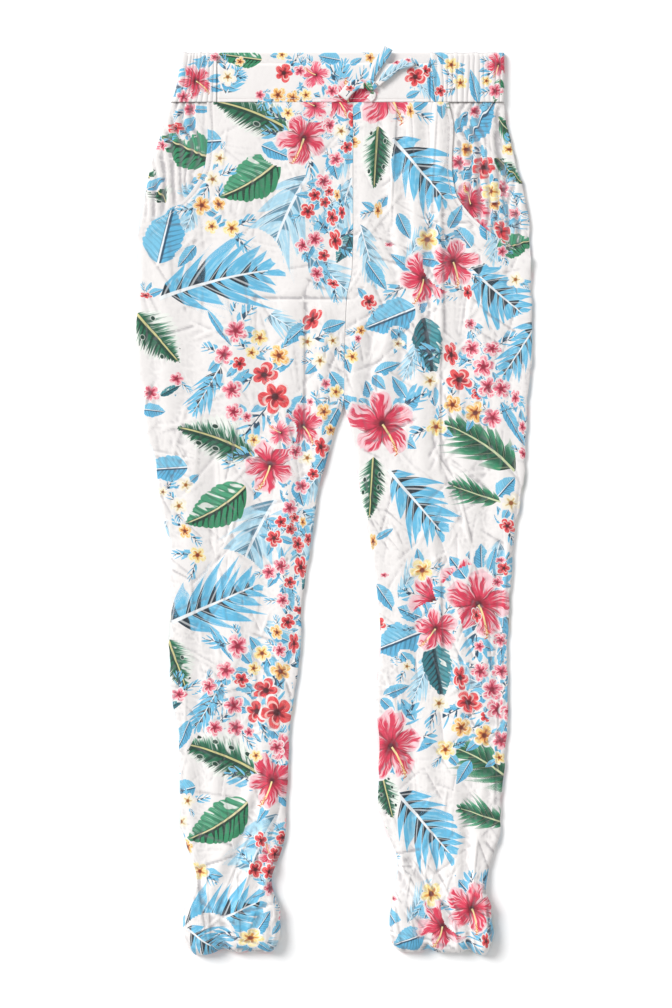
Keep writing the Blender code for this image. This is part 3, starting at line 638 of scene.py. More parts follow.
@dataclass(frozen=True)
class Flower:
    """A printed flower, by its centre and radius in millimetres, its turn and its flatness."""

    kind: Enum
    across: float
    down: float
    radius: float
    turn: float = 0.0
    flatness: float = 1.0

    def moved(self, across: float, down: float) -> "Flower":
        """The same flower farther along the cloth."""
        return replace(self, across=self.across + across, down=self.down + down)

    def covers(self, inside: Array) -> Array:
        """True where places inside the drawing may be printed."""
        return np.hypot(inside[:, 0], inside[:, 1]) < 1.12

    def place(self, points: Array) -> Array:
        """Places inside the drawing of points on the layout, as for a leaf."""
        turn = math.radians(self.turn)
        away = (points - np.array([self.across, self.down])) / self.radius
        along = away[:, 0] * math.cos(turn) + away[:, 1] * math.sin(turn)
        beside = -away[:, 0] * math.sin(turn) + away[:, 1] * math.cos(turn)
        return np.stack([along, beside / self.flatness], axis=-1)


class Hibiscus(Flower):
    """A large flower, its stamens at its turn."""


class Bloom(Flower):
    """A small flower."""


Motif = Leaflike | Flower


def repeated(motifs: Sequence[Motif], *steps: tuple[float, float]) -> list[Motif]:
    """Motifs at their own places and again at each step, which is (across, down), from them."""
    return [motif.moved(*step) for step in ((0.0, 0.0), *steps) for motif in motifs]


def many(shape: Callable, kind: Enum, *rows: tuple[float, ...]) -> list[Motif]:
    """Motifs of one shape and kind, each row holding the shape's further fields in order."""
    return [shape(kind, *row) for row in rows]


SKY, PALE, FERN, SPRIG = FrondKind.SKY, FrondKind.PALE, FrondKind.FERN, FrondKind.SPRIG
GREEN, HOLED, BLUE, TEAL = LeafKind.GREEN, LeafKind.HOLED, LeafKind.SKY, LeafKind.TEAL
CORAL, PINK, YELLOW = BloomKind.CORAL, BloomKind.PINK, BloomKind.YELLOW
CREAM, AMBER = BloomKind.CREAM, BloomKind.AMBER
CRIMSON, ROSE = HibiscusKind.CRIMSON, HibiscusKind.ROSE

# The wearer's right front panel, at image left
RIGHT_REPEAT = (
    *many(Frond, PALE,
        (255, 305, 300, 334, 0.7), (276, 500, 234, 598, 0.95, 0.05), (318, 505, 300, 560, 0.9),
        (322, 470, 298, 502, 0.9), (300, 500, 276, 528, 0.9), (214, 560, 240, 596, 0.8),
        (168, 520, 150, 560, 0.9),
    ),
    *many(Frond, SKY, (222, 364, 194, 412, 0.75)),
    *many(Leaf, HOLED, (136, 313, 181, 364, 1.35), (256, 457, 175, 427, 1.05, 0.05)),
    *many(Leaf, GREEN, (246, 486, 184, 524, 1.1, -0.06)),
    *many(Leaf, BLUE,
        (208, 311, 232, 347, 0.35), (142, 409, 166, 412, 1.2), (292, 396, 297, 420, 0.8),
        (188, 467, 140, 470, 1.05), (297, 480, 304, 507, 1.1), (330, 372, 350, 400, 0.8),
        (283, 586, 293, 612, 1), (338, 408, 322, 436, 1), (304, 396, 286, 424, 1), (330, 448, 312, 474, 1.1),
        (322, 330, 346, 322, 1),
    ),
    *many(Leaf, TEAL, (160, 396, 183, 384, 0.6), (318, 560, 302, 590, 0.9)),
    *many(Hibiscus, CRIMSON, (270, 465, 29, 104), (303, 426, 22, 50)),
    *many(Hibiscus, ROSE, (281, 433, 15, 200)),
    *many(Bloom, AMBER,
        (279, 356, 12.5, 40, 0.85), (324, 412, 8.5, 10), (331, 430, 7.5, 50, 0.8), (185, 531, 9, 50, 0.8),
        (303, 522, 6.5, 90, 0.6),
    ),
    *many(Bloom, YELLOW,
        (260, 338, 9.5, 15), (252, 353, 7.5, 70), (198, 555, 10, 20), (336, 392, 8), (254, 440, 7, 20),
    ),
    *many(Bloom, PINK,
        (236, 331, 13, 25), (224, 355, 11, 70), (232, 390, 11.5, 40), (234, 412, 10), (247, 417, 6, 50),
        (177, 379, 9.5, 0, 0.8), (151, 393, 10, 30), (310, 402, 4.5), (281, 566, 10), (269, 572, 8.5, 40),
        (290, 508, 9, 10), (302, 486, 8.5), (326, 384, 6, 20), (296, 452, 8, 20), (283, 600, 8, 20),
    ),
    *many(Bloom, CORAL,
        (240, 364, 8.5, 10), (264, 375, 15, 0, 0.9), (275, 397, 18.5, 30), (312, 320, 14.5, 120, 0.62),
        (146, 296, 7, 10, 0.5), (321, 447, 12.5, 75, 0.7), (274, 538, 9, 20), (291, 529, 6.5),
        (295, 518, 5.5, 50), (298, 544, 9.5, 80, 0.7), (308, 539, 7.5, 90, 0.6), (301, 567, 12.5, 80, 0.6),
        (290, 582, 7), (299, 610, 7.5, 20, 0.6), (281, 522, 7.5, 40), (313, 474, 7, 30),
    ),
    *many(Bloom, CREAM,
        (307, 342, 9.5), (333, 341, 8.5, 40), (320, 361, 9.5, 20), (307, 458, 9, 10), (186, 485, 9),
        (179, 506, 9.5, 30), (163, 492, 6),
    ),
)

RIGHT_PRINT = (
    *repeated(RIGHT_REPEAT, (34, -326), (2, 315), (4, 630)),
    *many(Frond, PALE, (306, 252, 350, 294, 0.95), (232, 632, 270, 658, 0.8)),
    *many(Frond, SKY,
        (160, 299, 268, 271, 1, 0.03), (172, 622, 254, 586, 1.2), (174, 937, 256, 901, 1.2),
        (188, 926, 226, 952, 1.3),
    ),
    *many(Leaf, HOLED, (168, 638, 188, 692, 1.25)),
    *many(Leaf, BLUE,
        (262, 146, 294, 160, 0.95), (158, 264, 173, 204, 1.3), (266, 655, 284, 690, 0.9),
        (268, 723, 288, 746, 0.9), (196, 786, 170, 792, 1.5), (272, 797, 256, 823, 0.6),
        (196, 246, 178, 268, 0.9), (190, 720, 176, 752, 0.8),
    ),
    *many(Hibiscus, CRIMSON, (271, 855, 14, 240)),
    *many(Bloom, AMBER, (202, 206, 10.5, 30), (277, 632, 8.5, 60, 0.8)),
    *many(Bloom, YELLOW, (212, 227, 8, 10), (251, 936, 14.5, 0, 0.72)),
    *many(Bloom, PINK, (209, 686, 9), (215, 727, 9.5, 15), (277, 747, 9, 30), (280, 650, 8, 50)),
    *many(Bloom, CORAL,
        (294, 643, 12.5, 90, 0.5), (257, 711, 13.5, 50), (261, 839, 9, 60, 0.8), (256, 868, 9.5, 10),
        (270, 870, 9.5, 50), (288, 622, 8.5),
    ),
)

# The wearer's left front panel, at image right
LEFT_REPEAT = (
    *many(Frond, SKY, (470, 270, 522, 314, 1.25), (538, 322, 504, 374, 0.95), (388, 470, 440, 530, 1.22)),
    *many(Frond, FERN, (514, 471, 448, 426, 0.95, 0.06), (500, 502, 452, 486, 1)),
    *many(Frond, PALE, (424, 330, 404, 376, 0.7), (500, 540, 488, 590, 0.7), (398, 600, 418, 560, 0.6)),
    *many(Leaf, HOLED, (373, 457, 369, 521, 1)),
    *many(Leaf, BLUE,
        (367, 262, 387, 291, 0.8), (415, 308, 363, 329, 1.2),
        (374, 373, 401, 363, 0.9), (372, 376, 386, 390, 1.1), (359, 399, 374, 411, 0.9),
        (342, 344, 350, 374, 0.9), (501, 402, 525, 447, 0.42), (497, 496, 515, 477, 1.5),
        (466, 578, 449, 556, 1.25), (482, 571, 481, 543, 1.1), (488, 571, 496, 546, 0.7),
        (450, 581, 439, 564, 0.7), (392, 330, 412, 352, 0.9), (406, 398, 392, 376, 0.9),
    ),
    *many(Leaf, TEAL, (424, 318, 434, 377, 0.95)),
    *many(Hibiscus, CRIMSON, (424, 279, 28, 100), (453, 262, 27, 68), (382, 424, 35, 52)),
    *many(Bloom, AMBER, (361, 331, 6.5), (452, 405, 11, 30), (475, 413, 12.5), (373, 541, 9, 90, 0.5)),
    *many(Bloom, YELLOW, (352, 357, 9.5, 30, 0.8), (436, 427, 10.5, 20), (422, 570, 12.5, 20)),
    *many(Bloom, CORAL,
        (369, 302, 9, 20), (467, 293, 9, 80, 0.6), (451, 355, 14, 80, 0.6), (459, 380, 15, 20, 0.85),
        (477, 394, 7), (507, 526, 9.5, 30, 0.8), (503, 568, 8),
    ),
    *many(Bloom, CREAM, (515, 280, 9), (430, 381, 10, 10), (511, 503, 11.5, 10), (398, 344, 6.5)),
    *many(Bloom, PINK,
        (358, 339, 4.5), (470, 324, 6.5), (471, 349, 10.5, 30), (492, 349, 10.5, 10, 0.8), (483, 367, 12, 60),
        (488, 387, 12), (501, 389, 11, 45), (515, 398, 9, 90, 0.6), (492, 418, 11.5, 20),
        (522, 427, 8, 80, 0.6), (523, 454, 7.5, 60, 0.6), (500, 560, 6, 0, 0.6), (384, 575, 5, 0, 0.6),
        (497, 582, 6.5),
    ),
)

LEFT_PRINT = (
    *repeated(LEFT_REPEAT, (5, -330), (9, 322), (18, 644)),
    *many(Frond, SKY, (482, 940, 470, 910, 0.9)),
    *many(Frond, PALE, (494, 690, 448, 668, 0.85), (360, 226, 376, 282, 0.7)),
    *many(Leaf, HOLED, (382, 775, 393, 819, 1.2)),
    *many(Leaf, BLUE,
        (449, 229, 462, 205, 0.9), (422, 617, 397, 607, 1.3), (503, 612, 499, 671, 0.42),
        (490, 636, 492, 677, 0.35), (424, 932, 392, 943, 1.55), (398, 214, 410, 240, 0.9),
        (470, 640, 496, 650, 0.9), (470, 760, 456, 784, 0.9),
    ),
    *many(Leaf, GREEN, (497, 249, 534, 240, 1.35)),
    *many(Hibiscus, CRIMSON, (478, 604, 36, 63), (435, 628, 24, 118)),
    *many(Bloom, AMBER, (353, 143, 8, 0, 0.8), (410, 112, 9, 80, 0.5)),
    *many(Bloom, YELLOW, (499, 757, 8, 40, 0.8)),
    *many(Bloom, PINK, (500, 640, 8, 20)),
)

# The wearer's right side, where the pocket's facing shows in its mouth
RIGHT_SIDE_PRINT = (
    *many(Frond, PALE, (200, 210, 186, 186, 0.9)),
    *many(Leaf, GREEN, (212, 159, 163, 137, 1.45)),
    *many(Leaf, HOLED, (168, 203, 145, 166, 1.2)),
    *many(Leaf, BLUE, (168, 232, 176, 206, 1.2), (198, 118, 182, 136, 1.0), (150, 190, 166, 178, 1.0)),
    *many(Bloom, CORAL, (178, 129, 8.5, 0, 0.8)),
    *many(Bloom, PINK, (192, 110, 8, 40), (164, 146, 7)),
    *many(Bloom, AMBER, (203, 178, 5.5, 20), (196, 196, 6)),
    *many(Bloom, CREAM, (186, 216, 7)),
)

# The wearer's left side
LEFT_SIDE_PRINT = (
    *many(Frond, FERN, (498, 118, 520, 140, 1.1)),
    *many(Frond, PALE, (520, 206, 508, 236, 1.0)),
    *many(Leaf, BLUE,
        (468, 142, 496, 98, 1.05), (464, 181, 475, 154, 1.0), (499, 199, 509, 218, 0.9),
        (456, 134, 468, 112, 0.9), (506, 168, 520, 200, 0.9),
    ),
    *many(Leaf, HOLED, (497, 158, 527, 186, 1.0)),
    *many(Leaf, GREEN, (497, 251, 534, 240, 1.35)),
    *many(Hibiscus, CRIMSON, (473, 205, 23, 240)),
    *many(Bloom, CORAL, (485, 168, 12.5, 20), (503, 231, 13, 70, 0.7), (458, 246, 9)),
    *many(Bloom, PINK,
        (459, 163, 12, 0, 0.8), (503, 190, 10.5, 50), (481, 228, 12, 20), (486, 244, 10, 60),
        (476, 112, 7), (516, 214, 7),
    ),
    *many(Bloom, AMBER, (468, 150, 8, 30), (496, 204, 8.5)),
    *many(Bloom, YELLOW, (493, 192, 10.5, 10), (510, 150, 6.5)),
)

# The waistband
BAND_PRINT = (
    *many(Frond, SKY, (226, 96, 240, 70, 1.2), (337, 104, 344, 62, 0.8), (206, 60, 176, 90, 1.1)),
    *many(Frond, PALE, (408, 66, 428, 96, 0.7)),
    *many(Leaf, GREEN, (262, 60, 218, 54, 1.0), (500, 80, 494, 104, 0.9)),
    *many(Leaf, BLUE,
        (340, 60, 318, 56, 1.2), (436, 104, 430, 58, 0.55), (222, 84, 236, 90, 1.1),
        (350, 66, 362, 58, 1.0), (330, 104, 322, 82, 0.7), (478, 104, 470, 70, 0.6),
        (334, 74, 350, 84, 1.0), (406, 98, 420, 92, 1.0),
    ),
    *many(Leaf, TEAL, (292, 92, 306, 104, 0.9)),
    *many(Hibiscus, CRIMSON, (196, 82, 19, 30), (350, 108, 30, 250), (498, 66, 14, 100)),
    *many(Hibiscus, ROSE, (316, 76, 15, 200)),
    *many(Bloom, CREAM, (228, 78, 9, 20)),
    *many(Bloom, CORAL, (284, 74, 11), (415, 78, 11.5, 20), (425, 72, 7, 60), (440, 92, 6.5)),
    *many(Bloom, AMBER, (278, 96, 9, 30), (293, 99, 8.5), (370, 58, 6), (240, 62, 5.5)),
    *many(Bloom, YELLOW,
        (306, 96, 7, 40), (451, 66, 8.5, 10), (460, 84, 8, 50), (282, 55, 6), (486, 82, 6),
    ),
    *many(Bloom, PINK,
        (495, 92, 9), (215, 58, 6), (184, 98, 8, 50), (300, 72, 7), (332, 92, 7.5, 20), (260, 96, 6),
    ),
)

# The tie
TIE_PRINT = (
    *many(Frond, SKY, (366, 98, 394, 50, 0.55)),
    *many(Frond, PALE, (378, 84, 412, 62, 0.6)),
    *many(Frond, SPRIG, (346, 98, 364, 76, 0.8)),
    *many(Leaf, GREEN, (364, 84, 374, 96, 1.0)),
    *many(Leaf, BLUE, (384, 60, 396, 46, 0.9)),
    *many(Bloom, PINK, (396, 64, 5, 0, 0.6), (408, 62, 4, 30, 0.6)),
    *many(Bloom, CORAL, (350, 90, 5, 0, 0.7)),
)


# The smallest flower that has leaves of its own, and where no drawing is printed
LEAST_LEAFED_RADIUS = 5.5
NOWHERE = (9.0, 9.0, 0.0, 0.0)


class Ink(Enum):
    """The print's layers, from the lowest up. Each names an attribute of the cloth's mesh."""

    FRONDS = "print_fronds"
    LEAVES = "print_leaves"
    SPRIGS = "print_sprigs"
    HIBISCUS = "print_hibiscus"
    BUDS = "print_buds"
    BLOOMS = "print_blooms"


def leafed(motifs: Sequence[Motif], seed: int) -> tuple[Motif, ...]:
    """Adds small blue leaves under flowers.

    Args:
        motifs: The print's motifs.
        seed: Fixes the random places of the leaves.

    Returns:
        The leaves and then the motifs.
    """
    luck = np.random.default_rng(seed)
    added: list[Leaflike] = []
    for motif in motifs:
        large = isinstance(motif, Hibiscus)
        if not isinstance(motif, Flower) or motif.radius < LEAST_LEAFED_RADIUS:
            continue
        for _ in range(5 if large else 3):
            turn = luck.uniform(0.0, 2 * math.pi)
            step = motif.radius * np.array([math.cos(turn), math.sin(turn)])
            near, far = 0.4 * step, luck.uniform(*((1.2, 1.6) if large else (1.6, 2.7))) * step
            ends = (motif.across + near[0], motif.down + near[1], motif.across + far[0], motif.down + far[1])
            breadth = luck.uniform(0.7, 1.2)
            added.append(Leaf(BLUE, *ends, breadth) if luck.random() < 0.5 else Frond(SPRIG, *ends, breadth))
    return (*added, *motifs)


def ink_of(motif: Motif, turn: int) -> Ink:
    """The layer that a motif is printed in; small flowers take turns between two."""
    if isinstance(motif, Frond):
        return Ink.SPRIGS if motif.kind is FrondKind.SPRIG else Ink.FRONDS
    if isinstance(motif, Leaf):
        return Ink.LEAVES
    if isinstance(motif, Hibiscus):
        return Ink.HIBISCUS
    return Ink.BLOOMS if turn % 2 else Ink.BUDS


@dataclass(frozen=True)
class Print:
    """A length of printed cloth as a piece of the garment is cut from it."""

    motifs: tuple[Motif, ...]
    shift_across: float = 0.0
    shift_down: float = 0.0
    mirrored: bool = False

    def on_print(self, points: Array) -> Array:
        """Places on the print of points on the layout."""
        across = points[:, 0]
        if self.mirrored:
            across = 2 * LAYOUT_CENTRE_ACROSS - across
        return np.stack([across + self.shift_across, points[:, 1] + self.shift_down], axis=-1)

    def lay(self, mesh: Mesh, places: Array) -> None:
        """Writes every layer's places inside its drawings to the mesh.

        Args:
            mesh: The piece's mesh.
            places: The place on the layout of each of its points, as rows of (across, down).
        """
        corner_points = np.empty(len(mesh.loops), np.int32)
        mesh.loops.foreach_get("vertex_index", corner_points)
        points = self.on_print(places[corner_points])
        starts = np.empty(len(mesh.polygons), np.int32)
        mesh.polygons.foreach_get("loop_start", starts)
        counts = np.empty(len(mesh.polygons), np.int32)
        mesh.polygons.foreach_get("loop_total", counts)
        centres = np.add.reduceat(points, starts, axis=0) / counts[:, None]
        layers = {ink: np.tile(np.array(NOWHERE), (len(points), 1)) for ink in Ink}
        for turn, motif in enumerate(self.motifs):
            taken = motif.covers(motif.place(centres))
            corners = np.repeat(taken, counts)
            if not corners.any():
                continue
            layer = layers[ink_of(motif, turn)]
            layer[corners, :2] = motif.place(points[corners])
            layer[corners, 2] = motif.kind.value
            layer[corners, 3] = 1.0 + (turn * 0.618) % 1.0 * 7.0
        for ink, layer in layers.items():
            made = mesh.attributes.new(ink.value, "FLOAT_COLOR", "CORNER")
            made.data.foreach_set("color", layer.astype(np.float32).ravel())


# ---------------------------------------------------------------- the cloth's measures


class Side(Enum):
    """The wearer's two sides; the value points from the inseam outwards along `across`."""

    RIGHT = -1
    LEFT = 1


@dataclass(frozen=True)
class Section:
    """A row of a leg: its outer and inner edge at a distance down."""

    down: float
    side: float
    inner: float


@dataclass(frozen=True)
class Level:
    """A height at a distance down."""

    down: float
    level: float


@dataclass(frozen=True)
class Mouth:
    """A point of a pocket mouth's edge."""

    across: float
    down: float


@dataclass(frozen=True)
class Fold:
    """A soft ridge, or a trough where its height is negative, between two points."""

    across: float
    down: float
    to_across: float
    to_down: float
    width: float
    height: float
    lip: float = 0.0

    def raise_cloth(self, across: Array, down: Array) -> Array:
        """Height that the fold adds at places on the layout.

        Args:
            across: Places across.
            down: Places down.

        Returns:
            Millimetres added. A fold with a lip falls off steeply on its right hand.
        """
        run = np.array([self.to_across - self.across, self.to_down - self.down])
        length = math.hypot(*run)
        run = run / length
        along = (across - self.across) * run[0] + (down - self.down) * run[1]
        off = (across - self.across) * run[1] - (down - self.down) * run[0]
        past_end = np.maximum(np.maximum(-along, along - length), 0.0)
        width = np.where(off > 0, self.lip, self.width) if self.lip else self.width
        fade = np.exp(-((past_end / (1.6 * self.width)) ** 2))
        return self.height * fade * np.exp(-((off / width) ** 2))


def table(shape: Callable, *rows: tuple[float, ...]) -> tuple:
    """A table of one shape, each row holding the shape's fields in order."""
    return tuple(shape(*row) for row in rows)


@dataclass(frozen=True)
class Lobe:
    """A place where the hem's lower edge bulges out or dips in."""

    across: float
    width: float
    length: float


# Waves in each direction before they come again
RIPPLE_CELLS = 64


def smoothstep(value: Array | float, start: float, end: float) -> Array:
    """A soft step from nought at start to one at end."""
    part = np.clip((np.asarray(value, float) - start) / (end - start), 0.0, 1.0)
    return part * part * (3.0 - 2.0 * part)


def read_table(rows: Sequence, column: str, at: Array | float) -> Array:
    """A table's column on a smooth curve through its rows that never swings past them.

    Args:
        rows: A table's rows, with a `down` and other columns.
        column: The column that is read.
        at: Distances down.

    Returns:
        The column's values there.
    """
    known = np.array([row.down for row in rows], float)
    values = np.array([getattr(row, column) for row in rows], float)
    steps = np.diff(values) / np.diff(known)
    before, after = steps[:-1], steps[1:]
    same_way = before * after > 0
    middle = np.where(same_way, 2 * before * after / np.where(same_way, before + after, 1.0), 0.0)
    slopes = np.concatenate([steps[:1], middle, steps[-1:]])
    at = np.clip(np.asarray(at, float), known[0], known[-1])
    low = np.clip(np.searchsorted(known, at) - 1, 0, len(known) - 2)
    span = known[low + 1] - known[low]
    part = (at - known[low]) / span
    start = (1 + 2 * part) * (1 - part) ** 2 * values[low] + part * (1 - part) ** 2 * span * slopes[low]
    end = part**2 * (3 - 2 * part) * values[low + 1] + part**2 * (part - 1) * span * slopes[low + 1]
    return start + end


def ripples(across: Array, down: Array, wide: float, tall: float, seed: int) -> Array:
    """Soft random waves.

    Args:
        across: Places across.
        down: Places down.
        wide: Millimetres across a wave.
        tall: Millimetres down a wave.
        seed: Fixes the waves.

    Returns:
        Heights from -1 to 1.
    """
    cells = np.random.default_rng(seed).uniform(-1.0, 1.0, (RIPPLE_CELLS, RIPPLE_CELLS))
    u, v = np.asarray(across, float) / wide, np.asarray(down, float) / tall
    left, upper = np.floor(u).astype(int), np.floor(v).astype(int)
    x, y = u - left, v - upper
    x, y = x**3 * (x * (x * 6 - 15) + 10), y**3 * (y * (y * 6 - 15) + 10)
    corners = [cells[(upper + j) % RIPPLE_CELLS, (left + i) % RIPPLE_CELLS] for j in (0, 1) for i in (0, 1)]
    top = corners[0] + (corners[1] - corners[0]) * x
    bottom = corners[2] + (corners[3] - corners[2]) * x
    return top + (bottom - top) * y


def to_world(across: Array, down: Array, level: Array) -> Array:
    """Points in metres of places on the layout and heights, all in millimetres."""
    across, down, level = np.broadcast_arrays(across, down, level)
    return np.stack(
        [(across - LAYOUT_CENTRE_ACROSS) * MM, (LAYOUT_CENTRE_DOWN - down) * MM, level * MM], axis=-1
    )


PANEL_WALL = 1.5
BAND_WALL = 2.0
POCKET_WALL = 1.2
TIE_WALL = 1.2
SEAM_GAP = 0.3
SIDE_SEAM_LEVEL = 3.0
SIDE_ROUNDING = 6.0
HEM_ROUNDING = 9.0
HEM_ARC_TOP = 943.5
LEAST_FRONT_LEVEL = 3.6
LEAST_POCKET_LEVEL = 5.1
BAG_BOTTOM = 312.0
BAND_SEAM = 103.0
BACK_BAND_TOP = 53.0
FRONT_BAND_TOP = 64.0
BAND_RIGHT_SIDE = 171.0
BAND_LEFT_SIDE = 504.0
FRONT_BAND_RIGHT_SEAM = 217.0
FRONT_BAND_LEFT_SEAM = 430.0
BAND_LEVEL = 7.0
BAND_INSET_WIDTH = 7.0
FRONT_BAND_RISE = 0.2
CROTCH_DOWN = 404.0
CENTRE_SEAM_TOP = 337.0
CENTRE_SEAM_BOTTOM = 344.0
RIGHT_BAG_EDGE = 262.0
LEFT_BAG_EDGE = 404.0
# How high a pocket bag's lower corners start, and what they take off each edge
BAG_CORNER = 55.0
BAG_CORNER_SIDE = 30.0
BAG_CORNER_INNER = 34.0
# The turned-in hem: its rows, and how far it stays inside the leg, more at both ends
HEM_TURN_TOP = 897.0
HEM_TURN_BOTTOM = 941.0
HEM_TURN_INSET = 11.0
HEM_TURN_END_INSET = 16.0
HEM_BULGE_STARTS = 915.0
HEM_END = 954.0

RIGHT_SECTIONS = table(
    Section,
    (103, 171, 353), (130, 162, 353), (160, 152, 353), (190, 146, 353), (235, 138.5, 353),
    (270, 138, 352), (300, 137, 346.5), (355, 136, 344.5), (400, 144, 344), (430, 146, 335),
    (460, 155, 326.5), (505, 160.5, 316), (550, 170, 310), (600, 170, 302.5), (655, 169, 300),
    (700, 172, 294), (745, 179, 289), (820, 180, 286), (850, 188, 282), (878, 195.5, 272),
    (893, 190, 274), (912, 183.5, 281), (930, 183, 280.5), (945, 187, 276.5), (954, 196, 269),
)

LEFT_SECTIONS = table(
    Section,
    (103, 504, 353), (130, 508, 353), (160, 516, 353), (190, 524, 353), (235, 530.5, 353),
    (270, 531, 352), (300, 532, 346.5), (355, 533, 344.5), (400, 528, 344), (430, 526.5, 351),
    (460, 525.5, 356.5), (505, 520, 362), (550, 513, 371), (600, 510.5, 378), (640, 508, 380.5),
    (700, 508.5, 376), (745, 506, 379), (800, 502, 378), (830, 500.5, 387), (868, 489.5, 398),
    (890, 485.5, 393), (908, 491.5, 391), (930, 493, 389.5), (945, 490.5, 394), (954, 484, 403),
)

# Front edge of each pocket mouth, from the band seam to the side seam
RIGHT_MOUTH = table(
    Mouth,
    (207, 103), (208, 135), (205.5, 165), (193, 190), (170, 212), (139.5, 228),
)

LEFT_MOUTH = table(
    Mouth,
    (448, 103), (453, 128), (451.5, 165), (455, 192), (468, 213), (494, 236), (530.5, 256),
)

# How far the elastic draws in the wearer's right end of the band, more toward its upper edge
BAND_INSETS = table(
    Level,
    (53, 10.5), (63, 9.5), (91, 5.0), (103, 0.0),
)

# Height of the front's outer face above the surface, before its folds
FRONT_LEVELS = table(
    Level,
    (103, 6.9), (150, 6.4), (250, 6.2), (340, 5.6), (460, 5.2), (700, 5.2), (820, 6.2), (872, 9.5),
    (905, 15.5), (930, 17.0), (954, 15.0),
)

# The main folds, as the solids have them
FOLDS = table(
    Fold,
    (298, 112, 292, 285, 17, 1.2), (330, 125, 326, 290, 9, -0.9), (240, 150, 224, 330, 20, 1.4),
    (206, 245, 188, 400, 12, -1), (164, 255, 168, 425, 13, 1.6), (256, 299, 344, 300, 4, -1.1),
    (304, 300, 301, 495, 5, -1.3), (287, 310, 280, 520, 11, 1.6), (324, 312, 319, 470, 9, 1.7),
    (262, 335, 254, 560, 9, -1.1), (236, 345, 226, 480, 10, 1.3), (152, 330, 160, 460, 7, -0.9),
    (345, 150, 345, 280, 5, -0.7), (193, 420, 188, 610, 10, 1.9), (214, 440, 210, 650, 7, -1.3),
    (240, 490, 230, 700, 10, 2), (264, 560, 254, 725, 7, -1.2), (287, 500, 276, 700, 8, 1.9),
    (178, 560, 186, 720, 7, 1.1), (196, 640, 202, 790, 6, -1.1), (212, 690, 218, 850, 8, 1.9),
    (238, 700, 240, 820, 6, -1.2), (262, 720, 268, 850, 8, 2), (188, 770, 196, 880, 6, 1.6),
    (276, 786, 240, 905, 7, 3), (264, 775, 226, 893, 5, -1.8), (247, 800, 210, 890, 7, 2.6),
    (284, 845, 256, 930, 5, -2.2), (270, 868, 262, 935, 6, 2.6), (196, 872, 222, 948, 5, -2.6),
    (190, 900, 206, 948, 7, 2.4), (222, 902, 226, 952, 5, -3.2), (240, 915, 266, 936, 9, 2.4),
    (366, 112, 364, 290, 8, 1.1), (375, 106, 386, 219, 6, -1.2), (386, 219, 399, 300, 6, -1.2),
    (387, 112, 401, 285, 6, 1.5), (398, 120, 408, 230, 6, -0.8), (412, 110, 417, 300, 8, 2),
    (427, 118, 426, 330, 6, -1.4), (440, 106, 437, 350, 7, 2.1), (464, 108, 463, 168, 4, 1.3),
    (472, 118, 480, 195, 3.5, -1.1), (487, 108, 495, 208, 5, 1.5), (499, 140, 508, 222, 4, -1.3),
    (516, 140, 522, 240, 6, 1.2), (456, 215, 461, 350, 6, -1.2), (482, 235, 484, 400, 11, 1.6),
    (509, 240, 508, 390, 6, -1.2), (357, 330, 352, 402, 6, 1.6), (370, 322, 367, 405, 5, -1.4),
    (386, 335, 381, 425, 7, 1.7), (401, 330, 398, 430, 5, -1.1), (417, 345, 424, 540, 9, 1.7),
    (437, 375, 437, 440, 5, -1.7), (437, 440, 460, 516, 5, -1.9), (452, 385, 470, 500, 8, 1.8),
    (498, 400, 505, 560, 7, 1.6), (482, 430, 486, 590, 6, -1.2), (396, 475, 402, 660, 9, 1.8),
    (420, 560, 412, 700, 6, -1.2), (433, 530, 437, 640, 5, 1.5), (462, 560, 458, 730, 9, 1.9),
    (444, 640, 440, 760, 5, -1.1), (500, 545, 496, 720, 5, -1.8), (484, 600, 480, 760, 7, 1.5),
    (394, 690, 402, 850, 8, 1.9), (424, 720, 428, 850, 8, 1.4), (410, 740, 414, 850, 5, -1.2),
    (452, 770, 458, 870, 7, 1.6), (468, 800, 463, 890, 5, -1.9), (482, 790, 472, 885, 6, 2),
    (431, 836, 450, 932, 4, -2.3), (400, 860, 438, 926, 6, 2.8), (410, 860, 450, 915, 4, -1.9),
    (396, 900, 410, 946, 6, 2.2), (420, 920, 428, 952, 5, -2.6), (442, 915, 458, 944, 7, 2.2),
    (480, 893, 486, 902, 7, 3.6), (468, 915, 470, 950, 4, -2.8), (482, 920, 482, 946, 6, 2.2),
)

# How far the hem's lower edge bulges past the last section, and dips between the bulges
HEM_LOBES = table(
    Lobe,
    (200, 13, 2.0), (224, 8, -4.5), (256, 16, -1.5), (408, 12, -1.5), (428, 7, -4.5), (448, 12, -0.5),
    (468, 6, -3.5), (482, 9, 2.0),
)
# The attribute of a cloth's mesh that says how deep in a crease each point is, where the material paints
# shade
PAINTED_CREASE_SHADE = "crease_depth"
# Each row of stitches' distance from the mouth's edge, or its place down, and its rise
MOUTH_STITCHING = 4.5
BAND_STITCHING = 99.5
STITCH_RISE = 0.12

